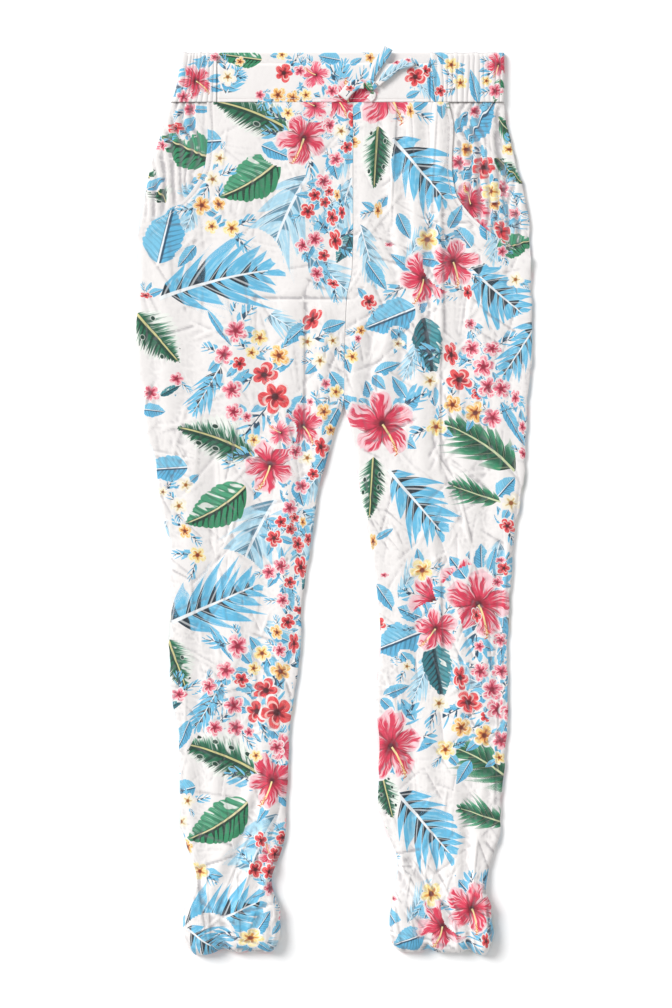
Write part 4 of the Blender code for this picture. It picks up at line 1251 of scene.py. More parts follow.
# Sharper creases that only the cloth shows; those with a lip are the edges of laid folds
CREASES = table(
    Fold,
    (303, 300, 302, 420, 5, 1, 1.2), (262, 300, 345, 301, 3, 0.7, 0.9), (346, 104, 346, 230, 4, 0.6, 1.2),
    (250, 830, 218, 905, 4, 1.1, 1.2), (262, 838, 234, 915, 4, 1.2, 1.2), (276, 850, 250, 925, 4, 1.2, 1.2),
    (193, 860, 205, 930, 4, 1.2, 1.2), (206, 866, 210, 936, 4, 1.1, 1.2), (236, 868, 240, 934, 4, 1, 1.2),
    (200, 902, 232, 922, 4, 1, 1.2), (224, 916, 262, 908, 4, 1.2, 1.4), (230, 938, 270, 948, 4, 1.2, 1.4),
    (204, 936, 226, 951, 4, 1.3, 1.4), (378, 104, 372, 180, 4, 1, 1.2), (396, 104, 390, 220, 4, 1, 1.2),
    (436, 106, 430, 210, 5, 1.1, 1.1), (440, 200, 442, 330, 4, 1.1, 1.2), (439, 340, 439, 462, 5, 1.3, 0.9),
    (439, 459, 456, 484, 4, 1.1, 0.9), (456, 484, 469, 535, 4, 1.1, 0.9), (440, 590, 441, 650, 4, 1, 0.9),
    (506, 560, 500, 680, 4, 1, 1.1), (497, 700, 493, 800, 4, 1, 1.1), (476, 846, 470, 905, 4, 1.1, 1.1),
    (402, 868, 436, 920, 4, 1.4, 1.1), (416, 866, 447, 912, 4, 1.3, 1.1), (440, 880, 462, 920, 4, 1.2, 1.1),
    (392, 900, 400, 944, 4, 1.1, 1.2), (403, 905, 424, 930, 4, 1.1, 1.3), (454, 925, 458, 950, 3, 1.2, 1.1),
    (466, 900, 474, 948, 4, 1.4, 1.1), (484, 905, 488, 946, 4, 1.3, 1.1), (476, 892, 492, 896, 4, 1.6, 1.4),
    (410, 938, 450, 948, 4, 1.1, 1.3),
)

# How strongly the fine crinkles show, down each front
RIGHT_CRINKLES = table(Level, (103, 0.55), (300, 0.55), (430, 0.85), (820, 0.9), (954, 1.5))
LEFT_CRINKLES = table(Level, (103, 1.0), (300, 0.85), (430, 0.8), (820, 1.0), (954, 1.5))


@dataclass(frozen=True)
class Relief:
    """The cloth's creases: its folds, its sharper creases and its fine crinkles."""

    crinkles: tuple[Level, ...]
    seed: int
    crinkle_height: float = 0.42
    creases: int = 420
    crease_end: float = 952.0
    groove_depth: float = 0.35
    groove_width: float = 1.1

    def wave(self, across: Array, down: Array, wide: float, tall: float, step: int) -> Array:
        """Soft random waves, others for each step."""
        return ripples(across, down, wide, tall, self.seed + step)

    def ridge(self, across: Array, down: Array, wide: float, tall: float, step: int) -> Array:
        """A net of sharp ridges, from nought to one."""
        return 1.0 - np.abs(self.wave(across, down, wide, tall, step))

    def folds(self, across: Array, down: Array, rows: Iterable[Fold]) -> Array:
        """The sum of a table's folds."""
        total = np.zeros_like(across)
        for fold in rows:
            total += fold.raise_cloth(across, down)
        return total

    def form(self, across: Array, down: Array) -> Array:
        """Height of the outer face with its main folds alone."""
        level = read_table(FRONT_LEVELS, "level", down) + self.folds(across, down, FOLDS)
        pocket_part = 1.0 - smoothstep(down, BAG_BOTTOM + 16, BAG_BOTTOM + 32)
        least = LEAST_FRONT_LEVEL + (LEAST_POCKET_LEVEL - LEAST_FRONT_LEVEL) * pocket_part
        return np.maximum(level, least)

    def fine(self, across: Array, down: Array) -> Array:
        """Crinkles: nets of small ridges, longer down the leg than across it."""
        drift = 6.0 * self.wave(across, down, 31.0, 44.0, 0)
        sway = 9.0 * self.wave(across, down, 27.0, 36.0, 1)
        wide = self.ridge(across + drift, down + sway, 10.0, 27.0, 2)
        slanted = self.ridge(across + 0.7 * down + sway, down - drift, 14.0, 15.0, 3)
        crossed = self.ridge(across - 0.8 * down - sway, down + drift, 15.0, 13.0, 12)
        small = self.ridge(across - drift, down + 0.3 * across + sway, 6.0, 8.5, 4)
        tiny = self.ridge(across + 0.3 * sway, down + 0.3 * drift, 3.9, 4.8, 10)
        patches = 0.6 + 0.4 * self.wave(across, down, 24.0, 40.0, 5)
        net = 0.7 * wide**5 + 0.75 * slanted**6 + 0.75 * crossed**6 + 0.6 * small**4 + 0.3 * tiny**3 - 0.75
        return self.crinkle_height * patches * net * read_table(self.crinkles, "level", down)

    def crumple(self, across: Array, down: Array) -> Array:
        """Short sharp creases, scattered, most of them slanting along the leg."""
        luck = np.random.default_rng(self.seed + 13)
        total = np.zeros_like(across)
        first, last = across.min(), across.max()
        for _ in range(self.creases):
            place = np.array([luck.uniform(first, last), luck.uniform(BAND_SEAM, self.crease_end)])
            turn = luck.normal(0.0, 0.62) if luck.random() < 0.75 else luck.uniform(-1.5, 1.5)
            end = place + luck.uniform(9.0, 46.0) * np.array([math.sin(turn), math.cos(turn)])
            height = luck.uniform(0.25, 0.75) * luck.choice((-1.0, 1.0))
            crease = Fold(*place, *end, luck.uniform(1.8, 4.2), height, luck.uniform(0.7, 1.3))
            rows = (down[:, 0] > min(place[1], end[1]) - 16) & (down[:, 0] < max(place[1], end[1]) + 16)
            total[rows] += crease.raise_cloth(across[rows], down[rows])
        return total * (0.4 + 0.6 * read_table(self.crinkles, "level", down))

    def gathers(self, across: Array, down: Array) -> Array:
        """Small pleats that the elastic leaves in the cloth just below the band."""
        sides = smoothstep(across, FRONT_BAND_LEFT_SEAM - 12, FRONT_BAND_LEFT_SEAM + 8)
        sides = sides + 1.0 - smoothstep(across, FRONT_BAND_RIGHT_SEAM - 8, FRONT_BAND_RIGHT_SEAM + 10)
        bend = 3.4 * self.wave(across, down, 11.0, 19.0, 6)
        pleats = np.abs(np.sin(math.pi * (across + bend) / 5.6)) ** 0.7
        return 0.6 * sides * (pleats - 0.35) * np.exp(-np.maximum(down - BAND_SEAM, 0) / 19.0)

    def stitched(self, off: Array) -> Array:
        """Groove that a row of stitches pulls into the cloth, at distances from the row."""
        return -self.groove_depth * np.exp(-((off / self.groove_width) ** 2))

    def surface(self, across: Array, down: Array) -> Array:
        """Height of the outer face with all its creases."""
        added = self.folds(across, down, CREASES) + self.fine(across, down) + self.gathers(across, down)
        return np.maximum(self.form(across, down) + added, LEAST_FRONT_LEVEL)


# ---------------------------------------------------------------- meshes


def add_object(name: str, data: bpy.types.ID) -> Object:
    """Puts an object of a mesh, a light or a camera in the scene, at the origin."""
    made = bpy.data.objects.new(name, data)
    bpy.context.scene.collection.objects.link(made)
    return made


def cloth_mesh(name: str, points: Array, faces: Sequence, finishes: Iterable[Material]) -> Mesh:
    """A smooth mesh of cloth.

    Args:
        name: The piece's name.
        points: Its points, as rows.
        faces: The numbers of each face's points.
        finishes: Its materials, the outer face's first.

    Returns:
        The mesh, all of it in the first material.
    """
    mesh = bpy.data.meshes.new(name + CLOTH)
    mesh.from_pydata(points.tolist(), [], faces)
    for finish in finishes:
        mesh.materials.append(finish)
    mesh.shade_smooth()
    return mesh


@dataclass
class Grid:
    """A wall of cloth as two faces of points, with each point's place on the layout.

    The inner face keeps each row and column whose number is a multiple of `thinning`.
    """

    outer: Array
    inner: Array
    place: Array
    thinning: int = 3
    # Depth of each outer point in a crease, which the material paints as shade
    shade: Array | None = None

    def __post_init__(self) -> None:
        """Thins the inner face."""
        self.inner = self.inner[:: self.thinning, :: self.thinning]

    def faces(self) -> tuple[list, int]:
        """Faces of both sides and the border between them, and how many are on the outer side."""
        rows, columns = self.outer.shape[:2]
        inner_rows, inner_columns = self.inner.shape[:2]
        first_inner = rows * columns
        numbers = np.arange(first_inner).reshape(rows, columns)
        inside = first_inner + np.arange(inner_rows * inner_columns).reshape(inner_rows, inner_columns)
        outer = np.stack([numbers[:-1, :-1], numbers[1:, :-1], numbers[1:, 1:], numbers[:-1, 1:]], axis=-1)
        inner = np.stack([inside[:-1, :-1], inside[:-1, 1:], inside[1:, 1:], inside[1:, :-1]], axis=-1)
        made = outer.reshape(-1, 4).tolist()
        outer_count = len(made)
        made += inner.reshape(-1, 4).tolist()
        fine_border, coarse_border = self.ring(numbers), self.ring(inside)
        step = self.thinning
        half = step // 2
        for place, start in enumerate(coarse_border):
            following = coarse_border[(place + 1) % len(coarse_border)]
            run = [fine_border[(place * step + k) % len(fine_border)] for k in range(step + 1)]
            for k in range(step):
                ends = [start] if k < half else [following, start] if k == half else [following]
                made.append([run[k], run[k + 1], *ends])
        return made, outer_count

    def ring(self, numbers: Array) -> list[int]:
        """The numbers round a grid's border, once round."""
        sides = (numbers[0, :-1], numbers[:-1, -1], numbers[-1, :0:-1], numbers[:0:-1, 0])
        return np.concatenate(sides).tolist()

    def build(self, name: str, cut: Print, finish: Material, lining: Material) -> Object:
        """Makes the piece, its print and its finish.

        Args:
            name: The piece's name.
            cut: The printed cloth that it is cut from.
            finish: What its outer face is made of.
            lining: What its inner face is made of.

        Returns:
            The object, at the origin.
        """
        faces, outer_count = self.faces()
        points = np.concatenate([self.outer.reshape(-1, 3), self.inner.reshape(-1, 3)])
        inner_place = self.place[:: self.thinning, :: self.thinning]
        places = np.concatenate([self.place.reshape(-1, 2), inner_place.reshape(-1, 2)])
        if self.faces_inwards(self.outer.shape[0] // 2):
            faces = [face[::-1] for face in faces]
        mesh = cloth_mesh(name, points, faces, (finish, lining))
        inner_quads = (self.inner.shape[0] - 1) * (self.inner.shape[1] - 1)
        which = np.zeros(len(mesh.polygons), np.int32)
        which[outer_count : outer_count + inner_quads] = 1
        mesh.polygons.foreach_set("material_index", which)
        cut.lay(mesh, places)
        # Writes the crease depths that the material darkens as painted shade
        if self.shade is not None:
            depth = np.zeros(len(points), np.float32)
            depth[: self.shade.size] = self.shade.ravel()
            mesh.attributes.new(PAINTED_CREASE_SHADE, "FLOAT", "POINT").data.foreach_set("value", depth)
        return add_object(name + CLOTH, mesh)

    def faces_inwards(self, row: int) -> bool:
        """True if the outer faces of a row would point at the inner side."""
        here = self.outer[row, :-1]
        normals = np.cross(self.outer[row + 1, :-1] - here, self.outer[row, 1:] - here)
        inner_row = round(row / max(1, self.outer.shape[0] - 1) * (self.inner.shape[0] - 1))
        inner_columns = np.linspace(0, self.inner.shape[1] - 1, len(here)).round().astype(int)
        toward_inner = self.inner[inner_row, inner_columns] - here
        return float((normals * toward_inner).sum()) > 0


def painted_valley_shade(level: Array, reach: int = 3) -> Array:
    """How far points of a grid lie in the cloth's valleys, where the material paints shade.

    Args:
        level: Heights of the grid's points.
        reach: How many points away the cloth round a valley is read.

    Returns:
        Depths from nought to one.
    """
    full_depth = 0.36
    soft, window = level, 2 * reach + 1
    for axis in (0, 1):
        rim = [(reach, reach) if axis == side else (0, 0) for side in (0, 1)]
        padded = np.pad(soft, rim, mode="edge")
        count = soft.shape[axis]
        soft = sum(np.take(padded, range(k, k + count), axis) for k in range(window)) / window
    return np.clip((soft - level) / full_depth, 0.0, 1.0)


def dense(first: float, last: float, spacing: float, multiple: int) -> Array:
    """Even places from first to last, whose spans are a multiple of a number."""
    spans = max(multiple, round(abs(last - first) / spacing / multiple) * multiple)
    return np.linspace(first, last, spans + 1)


def declare(piece: Object) -> None:
    """Makes a piece ride on the garment and stand for its solid, which it hides."""
    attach(piece, BODY)
    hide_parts(piece.name.removesuffix(CLOTH))
    triangles = sum(len(face.vertices) - 2 for face in piece.data.polygons)
    log.info("%s: %d triangles", piece.name, triangles)


@dataclass(frozen=True)
class Finishes:
    """What the garment is made of: the printed cloth, its wrong side and the sewing thread."""

    cloth: Material
    lining: Material
    thread: Material


# ---------------------------------------------------------------- stitches


@dataclass(frozen=True)
class Stitches:
    """Rows of machine stitches, in metres, set along a path by a Geometry Nodes tree."""

    spacing: float = 0.0031
    length: float = 0.0024
    thickness: float = 0.00022
    sides: int = 5

    def tree(self) -> bpy.types.NodeTree:
        """The node tree that turns the edges of a mesh into stitches."""
        made = bpy.data.node_groups.new("stitches", "GeometryNodeTree")
        sizes = {"Spacing": "Float", "Length": "Float", "Thickness": "Float"}
        for name, kind in {"Path": "Geometry", **sizes, "Thread": "Material"}.items():
            made.interface.new_socket(name, in_out="INPUT", socket_type="NodeSocket" + kind)
        made.interface.new_socket("Stitches", in_out="OUTPUT", socket_type="NodeSocketGeometry")
        s = Sketch(made)
        given = s.node("NodeGroupInput").outputs
        curve = s.fed(s.node("GeometryNodeMeshToCurve"), Mesh=given["Path"])
        points = s.node("GeometryNodeResampleCurve")
        set_mode(points, "LENGTH")
        s.fed(points, Curve=curve.outputs["Curve"], Length=given["Spacing"])
        stitch = s.node("GeometryNodeMeshCylinder")
        s.fed(stitch, Vertices=self.sides, Radius=given["Thickness"], Depth=given["Length"])
        tangent = s.node("GeometryNodeInputTangent").outputs["Tangent"]
        turn = s.fed(s.node("FunctionNodeAlignRotationToVector", axis="Z"), Vector=tangent)
        placed = s.fed(
            s.node("GeometryNodeInstanceOnPoints"),
            Points=points.outputs["Curve"],
            Instance=stitch.outputs["Mesh"],
            Rotation=turn.outputs["Rotation"],
        )
        real = s.fed(s.node("GeometryNodeRealizeInstances"), Geometry=placed.outputs["Instances"])
        thread = s.node("GeometryNodeSetMaterial")
        s.fed(thread, Geometry=real.outputs["Geometry"], Material=given["Thread"])
        s.fed(s.node("NodeGroupOutput"), Stitches=thread.outputs["Geometry"])
        return made

    def sew(self, name: str, row: Array, thread: Material) -> Object:
        """Sews a row of stitches.

        Args:
            name: The piece's name.
            row: The row's points, in metres.
            thread: What the thread is made of.

        Returns:
            The stitches as one plain mesh.
        """
        path = bpy.data.meshes.new(name + "_path")
        path.from_pydata(row.tolist(), [(step, step + 1) for step in range(len(row) - 1)], [])
        made = add_object(name, path)
        tree = self.tree()
        modifier = made.modifiers.new("stitches", "NODES")
        modifier.node_group = tree
        values = {"Spacing": self.spacing, "Length": self.length}
        values |= {"Thickness": self.thickness, "Thread": thread}
        for socket in tree.interface.items_tree:
            if socket.in_out == "INPUT" and socket.name in values:
                modifier[socket.identifier] = values[socket.name]
        graph = bpy.context.evaluated_depsgraph_get()
        mesh = bpy.data.meshes.new_from_object(made.evaluated_get(graph), depsgraph=graph)
        made.modifiers.remove(modifier)
        made.data = mesh
        bpy.data.meshes.remove(path)
        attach(made, BODY)
        log.info("%s: %d faces", name, len(mesh.polygons))
        return made


def set_mode(node: Node, mode: str) -> None:
    """Sets a node's mode, which is a property or an input by the version of Blender."""
    if "Mode" in node.inputs:
        node.inputs["Mode"].default_value = mode.title()
    else:
        node.mode = mode


# ---------------------------------------------------------------- the legs

QUARTER = math.pi / 2


@dataclass
class Panel:
    """A panel's points on the layout, and how far its edges and its hem have turned down.

    Each turn is an angle from nought, where the cloth's face is level with the seam, to a
    quarter turn, where the cloth lies flat. Each drop says how much of its edge's turn holds.
    """

    across: Array
    down: Array
    outer_turn: Array
    inner_turn: Array
    hem_turn: Array | float
    inwards: int
    outer_drop: Array | float
    inner_drop: Array | float

    def flatness(self) -> Array:
        """One where the cloth lies flat, and nought where its face has turned down."""
        outer = 1 - self.outer_drop * (1 - np.sin(self.outer_turn))
        inner = 1 - self.inner_drop * (1 - np.sin(self.inner_turn))
        return outer * inner * np.sin(self.hem_turn)

    def into(self) -> Array:
        """Unit vectors from the outer face into the cloth, level at the rounded edges."""
        across = np.cos(self.outer_turn) * self.outer_drop - np.cos(self.inner_turn) * self.inner_drop
        outer_fall = (1 - np.sin(self.outer_turn)) * self.outer_drop
        inner_fall = (1 - np.sin(self.inner_turn)) * self.inner_drop
        sink = 1.0 - np.maximum(np.maximum(outer_fall, inner_fall), 1 - np.sin(self.hem_turn))
        vectors = np.broadcast_arrays(self.inwards * across, -np.cos(self.hem_turn), -sink, self.across)[:3]
        vectors = np.stack(vectors, axis=-1)
        return vectors / np.linalg.norm(vectors, axis=-1, keepdims=True)

    def wall(
        self, low: Array, level: Array, plain: Array, thickness: float, up: float = 1.0
    ) -> tuple[Array, Array]:
        """The wall's two faces.

        Args:
            low: Places down, with the hem's bulges.
            level: Heights of the outer face.
            plain: Heights of the outer face without its finest creases.
            thickness: The wall's thickness.
            up: One for cloth whose outer face is its upper one, and minus one for the other.

        Returns:
            Points of the outer and of the inner face, in metres.
        """
        into = thickness * self.into()
        inner = to_world(self.across + into[..., 0], low + into[..., 1], plain + up * into[..., 2])
        return to_world(self.across, low, level), inner


def hem_bulge(across: Array, down: Array) -> Array:
    """Distance that the hem's lobes add to `down` near the hem."""
    lobes = np.zeros_like(across)
    for lobe in HEM_LOBES:
        lobes += lobe.length * np.exp(-(((across - lobe.across) / lobe.width) ** 2))
    return smoothstep(down, HEM_BULGE_STARTS, HEM_END) * lobes


def spread(values: Array, shape: tuple[int, int]) -> Array:
    """A coarse grid of values read as a finer one of a shape."""
    rows, columns = (np.linspace(0, count - 1, fine) for count, fine in zip(values.shape, shape))
    known_rows, known_columns = (np.arange(count) for count in values.shape)
    read = np.stack([np.interp(rows, known_rows, column) for column in values.T], axis=1)
    return np.stack([np.interp(columns, known_columns, row) for row in read])


@dataclass
class Leg:
    """One leg and hip: front, back, pocket and turned-in hem, as cut for one side.

    `drop_starts` and `drop_ends` are the rows about the crotch between which the panels'
    inner edges begin to turn down. The flat sizes and areas are of the cut cloth, in metres.
    """

    side: Side
    sections: tuple[Section, ...]
    mouth: tuple[Mouth, ...]
    relief: Relief
    front_print: Print
    side_print: Print
    back_print: Print
    bag_edge: float
    flat_front: tuple[float, float]
    flat_back: tuple[float, float] = (0.23, 0.855)
    front_area: float = 0.118
    back_area: float = 0.13
    drop_starts: float = 392.0
    drop_ends: float = 424.0
    columns: int = 144
    row_spacing: float = 1.43
    edge_steps: int = 6
    hem_steps: int = 6
    back_columns: int = 60
    back_row_spacing: float = 3.0
    pocket_columns: int = 78
    pocket_row_spacing: float = 1.5
    hem_turn_columns: int = 60
    hem_turn_fullness: float = 2.2
    hem_turn_edge: float = 2.0
    hem_turn_depth: float = 3.6

    @property
    def word(self) -> str:
        """The side's name in the pieces' names."""
        return self.side.name.lower()

    @property
    def inwards(self) -> int:
        """Which way along `across` the inseam lies."""
        return -self.side.value

    @property
    def mouth_end(self) -> float:
        """Place down where the pocket's mouth meets the side seam."""
        return self.mouth[-1].down

    def outline(self, downs: Array) -> tuple[Array, Array]:
        """Outer and inner edge at rows, slightly uneven as crinkled cloth is."""
        side, inner = (read_table(self.sections, column, downs) for column in ("side", "inner"))
        wave = self.relief.wave
        settle = smoothstep(downs, BAND_SEAM, BAND_SEAM + 20)
        uneven = 0.9 * wave(side * 0, downs, 7.0, 17.0, 7) + 0.5 * wave(side * 0, downs, 7.0, 7.0, 8)
        side = side - self.side.value * 0.6 * settle + uneven * settle
        inner_settle = smoothstep(downs, self.drop_ends, self.drop_ends + 20)
        return side, inner + 0.8 * wave(side * 0, downs, 7.0, 15.0, 9) * inner_settle

    def rows(self, spacing: float) -> tuple[Array, Array]:
        """Rows from the band's seam over the rounded hem, and each row's turn as a column."""
        angles = np.linspace(QUARTER, 0.0, self.hem_steps + 1)
        arc = HEM_ARC_TOP + HEM_ROUNDING * np.cos(angles)
        straight = dense(BAND_SEAM + SEAM_GAP, HEM_ARC_TOP, spacing, 3)
        turns = np.concatenate([np.full(len(straight), QUARTER), angles[1:]])
        return np.concatenate([straight, arc[1:]]), turns[:, None]

    def panel(self, edges: tuple, spans: int, hem: Array | float, drops: tuple) -> Panel:
        """Lays out a panel between its edges.

        Args:
            edges: Its rows, and the places across of its outer and its inner edge there.
            spans: Faces across it.
            hem: Turn of each row at the hem.
            drops: How much of the outer and of the inner edge's turn holds in each row.

        Returns:
            The panel's points, with its edges rounded.
        """
        downs, side, inner = edges
        arc = np.linspace(0.0, QUARTER, self.edge_steps, endpoint=False)
        flat = np.linspace(0.0, 1.0, spans - 2 * self.edge_steps + 1)
        share = np.concatenate([np.zeros(len(arc)), flat, np.ones(len(arc))])
        first = np.concatenate([arc, np.full(len(flat) + len(arc), QUARTER)])
        last = first[::-1]
        reach = SIDE_ROUNDING * self.inwards
        start, end = side[:, None] + reach, inner[:, None] - reach
        across = start + (end - start) * share - reach * np.cos(first) + reach * np.cos(last)
        down = np.broadcast_to(downs[:, None], across.shape)
        return Panel(across, down, first, last, hem, self.inwards, *drops)

    def crotch_drop(self, downs: Array) -> Array:
        """How much of the inner edge's turn holds in each row, as a column."""
        return smoothstep(downs, self.drop_starts, self.drop_ends)[:, None]

    def build_front(self, finishes: Finishes) -> Object:
        """The front panel: cut away at its pocket mouth, creased, rounded down at its seams."""
        mouth_end = self.mouth_end
        downs, hem = self.rows(self.row_spacing)
        side, inner = self.outline(downs)
        edge = read_table(self.mouth, "across", downs)
        below = side + (edge - side) * (1 - smoothstep(downs, mouth_end, mouth_end + 8))
        side = np.where(downs <= mouth_end, edge, below)
        inner = inner + self.side.value * SEAM_GAP / 2
        drops = (smoothstep(downs, mouth_end + 4, mouth_end + 22)[:, None], self.crotch_drop(downs))
        panel = self.panel((downs, side, inner), self.columns, hem, drops)
        across, down = panel.across, panel.down
        rolled = 1 - panel.flatness()
        seam = SIDE_SEAM_LEVEL + SEAM_GAP / 2
        form = self.relief.form(across, down)
        mouth_row = (across - edge[:, None]) * self.inwards - MOUTH_STITCHING
        stitching = self.relief.stitched(mouth_row) * (1 - smoothstep(down, mouth_end - 8, mouth_end))
        crumple = self.relief.crumple(across, down) * smoothstep(mouth_row, 0.0, 4.0)
        top = np.maximum(self.relief.surface(across, down) + crumple, LEAST_FRONT_LEVEL) + stitching
        level = top - (top - seam) * rolled
        plain = np.minimum(form - (form - seam) * rolled, level + 0.5)
        outer, under = panel.wall(down + hem_bulge(across, down), level, plain, PANEL_WALL)
        slope = self.inwards * np.gradient(top, axis=1)
        place = np.stack([across - 1.2 * slope, down], axis=-1)
        grid = Grid(outer, under, place, shade=painted_valley_shade(top, 2))
        return grid.build(f"front_{self.word}", self.front_print, finishes.cloth, finishes.lining)

    def build_back(self, finishes: Finishes) -> Object:
        """The back panel: it rests flat, with its edges turned up to meet the front's."""
        downs, hem = self.rows(self.back_row_spacing)
        side, inner = self.outline(downs)
        centre = np.interp(downs, (BAND_SEAM, CROTCH_DOWN), (CENTRE_SEAM_TOP, CENTRE_SEAM_BOTTOM))
        inner = np.where(downs < CROTCH_DOWN, centre, inner) + self.side.value * SEAM_GAP / 2
        drops = (1.0, self.crotch_drop(downs))
        panel = self.panel((downs, side, inner), self.back_columns, hem, drops)
        across, down, flat = panel.across, panel.down, panel.flatness()
        turned_up = (SIDE_SEAM_LEVEL - SEAM_GAP / 2) * (1 - flat)
        creased = np.maximum(0.6 * self.relief.fine(across + 70.0, down), 0.0)
        creased += np.maximum(-0.16 * self.relief.folds(across + 9.0, down, FOLDS), 0.0)
        level = turned_up + np.minimum(creased, 0.5) * flat
        outer, upper = panel.wall(down + hem_bulge(across, down), level, turned_up, PANEL_WALL, up=-1.0)
        grid = Grid(outer, upper, np.stack([across, down], axis=-1))
        return grid.build(f"back_{self.word}", self.back_print, finishes.cloth, finishes.lining)

    def under_front(self, across: Array, down: Array) -> Array:
        """Lowest height of the front's outer face close by, where it covers a place."""
        lowest = self.relief.form(across, down)
        for step_across in (-16.0, -8.0, 8.0, 16.0):
            for step_down in (-16.0, 0.0, 16.0):
                near_across, near_down = across + step_across, down + step_down
                edge = read_table(self.mouth, "across", near_down)
                covered = (near_down > self.mouth_end) | ((near_across - edge) * self.inwards > -8.0)
                near = self.relief.form(near_across, near_down)
                lowest = np.where(covered, np.minimum(lowest, near), lowest)
        return lowest

    def build_pocket(self, finishes: Finishes) -> Object:
        """Facing and bag of the pocket, gathered and wavy where its mouth shows it."""
        mouth_end, toward_bag, relief = self.mouth_end, self.inwards, self.relief
        downs = dense(BAND_SEAM + SEAM_GAP, BAG_BOTTOM, self.pocket_row_spacing, 6)
        side, _ = self.outline(downs)
        corner = smoothstep(downs, BAG_BOTTOM - BAG_CORNER, BAG_BOTTOM)
        clear = 9.0 * smoothstep(downs, mouth_end, mouth_end + 8)
        side = side + toward_bag * (clear + BAG_CORNER_SIDE * corner)
        inner = self.bag_edge - toward_bag * BAG_CORNER_INNER * corner
        panel = self.panel((downs, side, inner), self.pocket_columns, QUARTER, (1.0, 0.0))
        across, down = panel.across, panel.down
        coarse = (slice(None, None, 6), slice(None, None, 3))
        lowest = self.under_front(across[coarse], down[coarse])
        top = spread(lowest, across.shape) - PANEL_WALL - SEAM_GAP - 0.15
        edge = read_table(self.mouth, "across", down)
        shown = smoothstep((edge - across) * toward_bag, -1.0, 7.0) * (down < mouth_end)
        sway = 0.8 * relief.wave(across, down, 16.0, 30.0, 11)
        waves = 0.5 + 0.5 * np.sin(2 * math.pi * (across * 0.105 + sway))
        wavy = 0.9 * waves**1.6 + 1.6 * relief.fine(across, down) + 0.7 * relief.gathers(across, down)
        flat = panel.flatness()
        plain = top - (top - SIDE_SEAM_LEVEL - SEAM_GAP / 2) * (1 - flat)
        level = plain + np.maximum(wavy, -0.3) * shown * flat
        outer, under = panel.wall(down, level, plain, POCKET_WALL)
        place = np.stack([across + 3.0 * waves * shown, down], axis=-1)
        grid = Grid(outer, under, place, shade=painted_valley_shade(level))
        return grid.build(f"pocket_{self.word}", self.side_print, finishes.cloth, finishes.lining)

    def build_hem_turn(self, finishes: Finishes) -> Object:
        """The turned-in hem's layers, bunched inside the leg's end."""
        downs = dense(HEM_TURN_TOP, HEM_TURN_BOTTOM, 1.5, 3)
        from_middle = np.abs(downs - (HEM_TURN_TOP + HEM_TURN_BOTTOM) / 2)
        inset = HEM_TURN_INSET + (HEM_TURN_END_INSET - HEM_TURN_INSET) * smoothstep(from_middle, 12.0, 22.0)
        start = read_table(self.sections, "side", downs) + self.inwards * inset
        end = read_table(self.sections, "inner", downs) - self.inwards * inset
        share = np.linspace(0.0, 1.0, self.hem_turn_columns + 1)
        across = start[:, None] + (end - start)[:, None] * share
        down = np.broadcast_to(downs[:, None], across.shape)
        arch = np.sin(math.pi * np.linspace(0.04, 0.96, len(downs)))[:, None]
        dome = np.clip(self.hem_turn_fullness * np.sin(math.pi * share) * arch, 0.0, 1.0)
        floor = PANEL_WALL + SEAM_GAP
        rim = floor + self.hem_turn_edge
        top = self.relief.form(across, down) - PANEL_WALL - self.hem_turn_depth
        folds = 0.7 * np.cos(2 * math.pi * (across * 0.13 + 0.6 * ripples(across, down, 12.0, 20.0, 3)))
        outer = to_world(across, down, rim + (top - rim + folds) * dome)
        grid = Grid(outer, to_world(across, down, floor), np.stack([across, down], axis=-1))
        return grid.build(f"hem_turn_{self.word}", self.side_print, finishes.cloth, finishes.lining)

    def stitch_row(self) -> Array:
        """The row of stitches along the pocket's mouth."""
        downs = np.arange(BAND_SEAM + 3.0, self.mouth_end - 5.0, 1.5)
        across = read_table(self.mouth, "across", downs) + self.inwards * MOUTH_STITCHING
        level = self.relief.surface(across, downs) + self.relief.stitched(np.zeros(len(downs)))
        return to_world(across, downs, level + STITCH_RISE)

    def dress(self, finishes: Finishes) -> None:
        """Builds and declares all the leg's pieces."""
        Stitches().sew(f"mouth_stitches_{self.word}", self.stitch_row(), finishes.thread)
        front, back = self.build_front(finishes), self.build_back(finishes)
        for piece in (front, back, self.build_pocket(finishes), self.build_hem_turn(finishes)):
            declare(piece)


# ---------------------------------------------------------------- the waistband and its tie


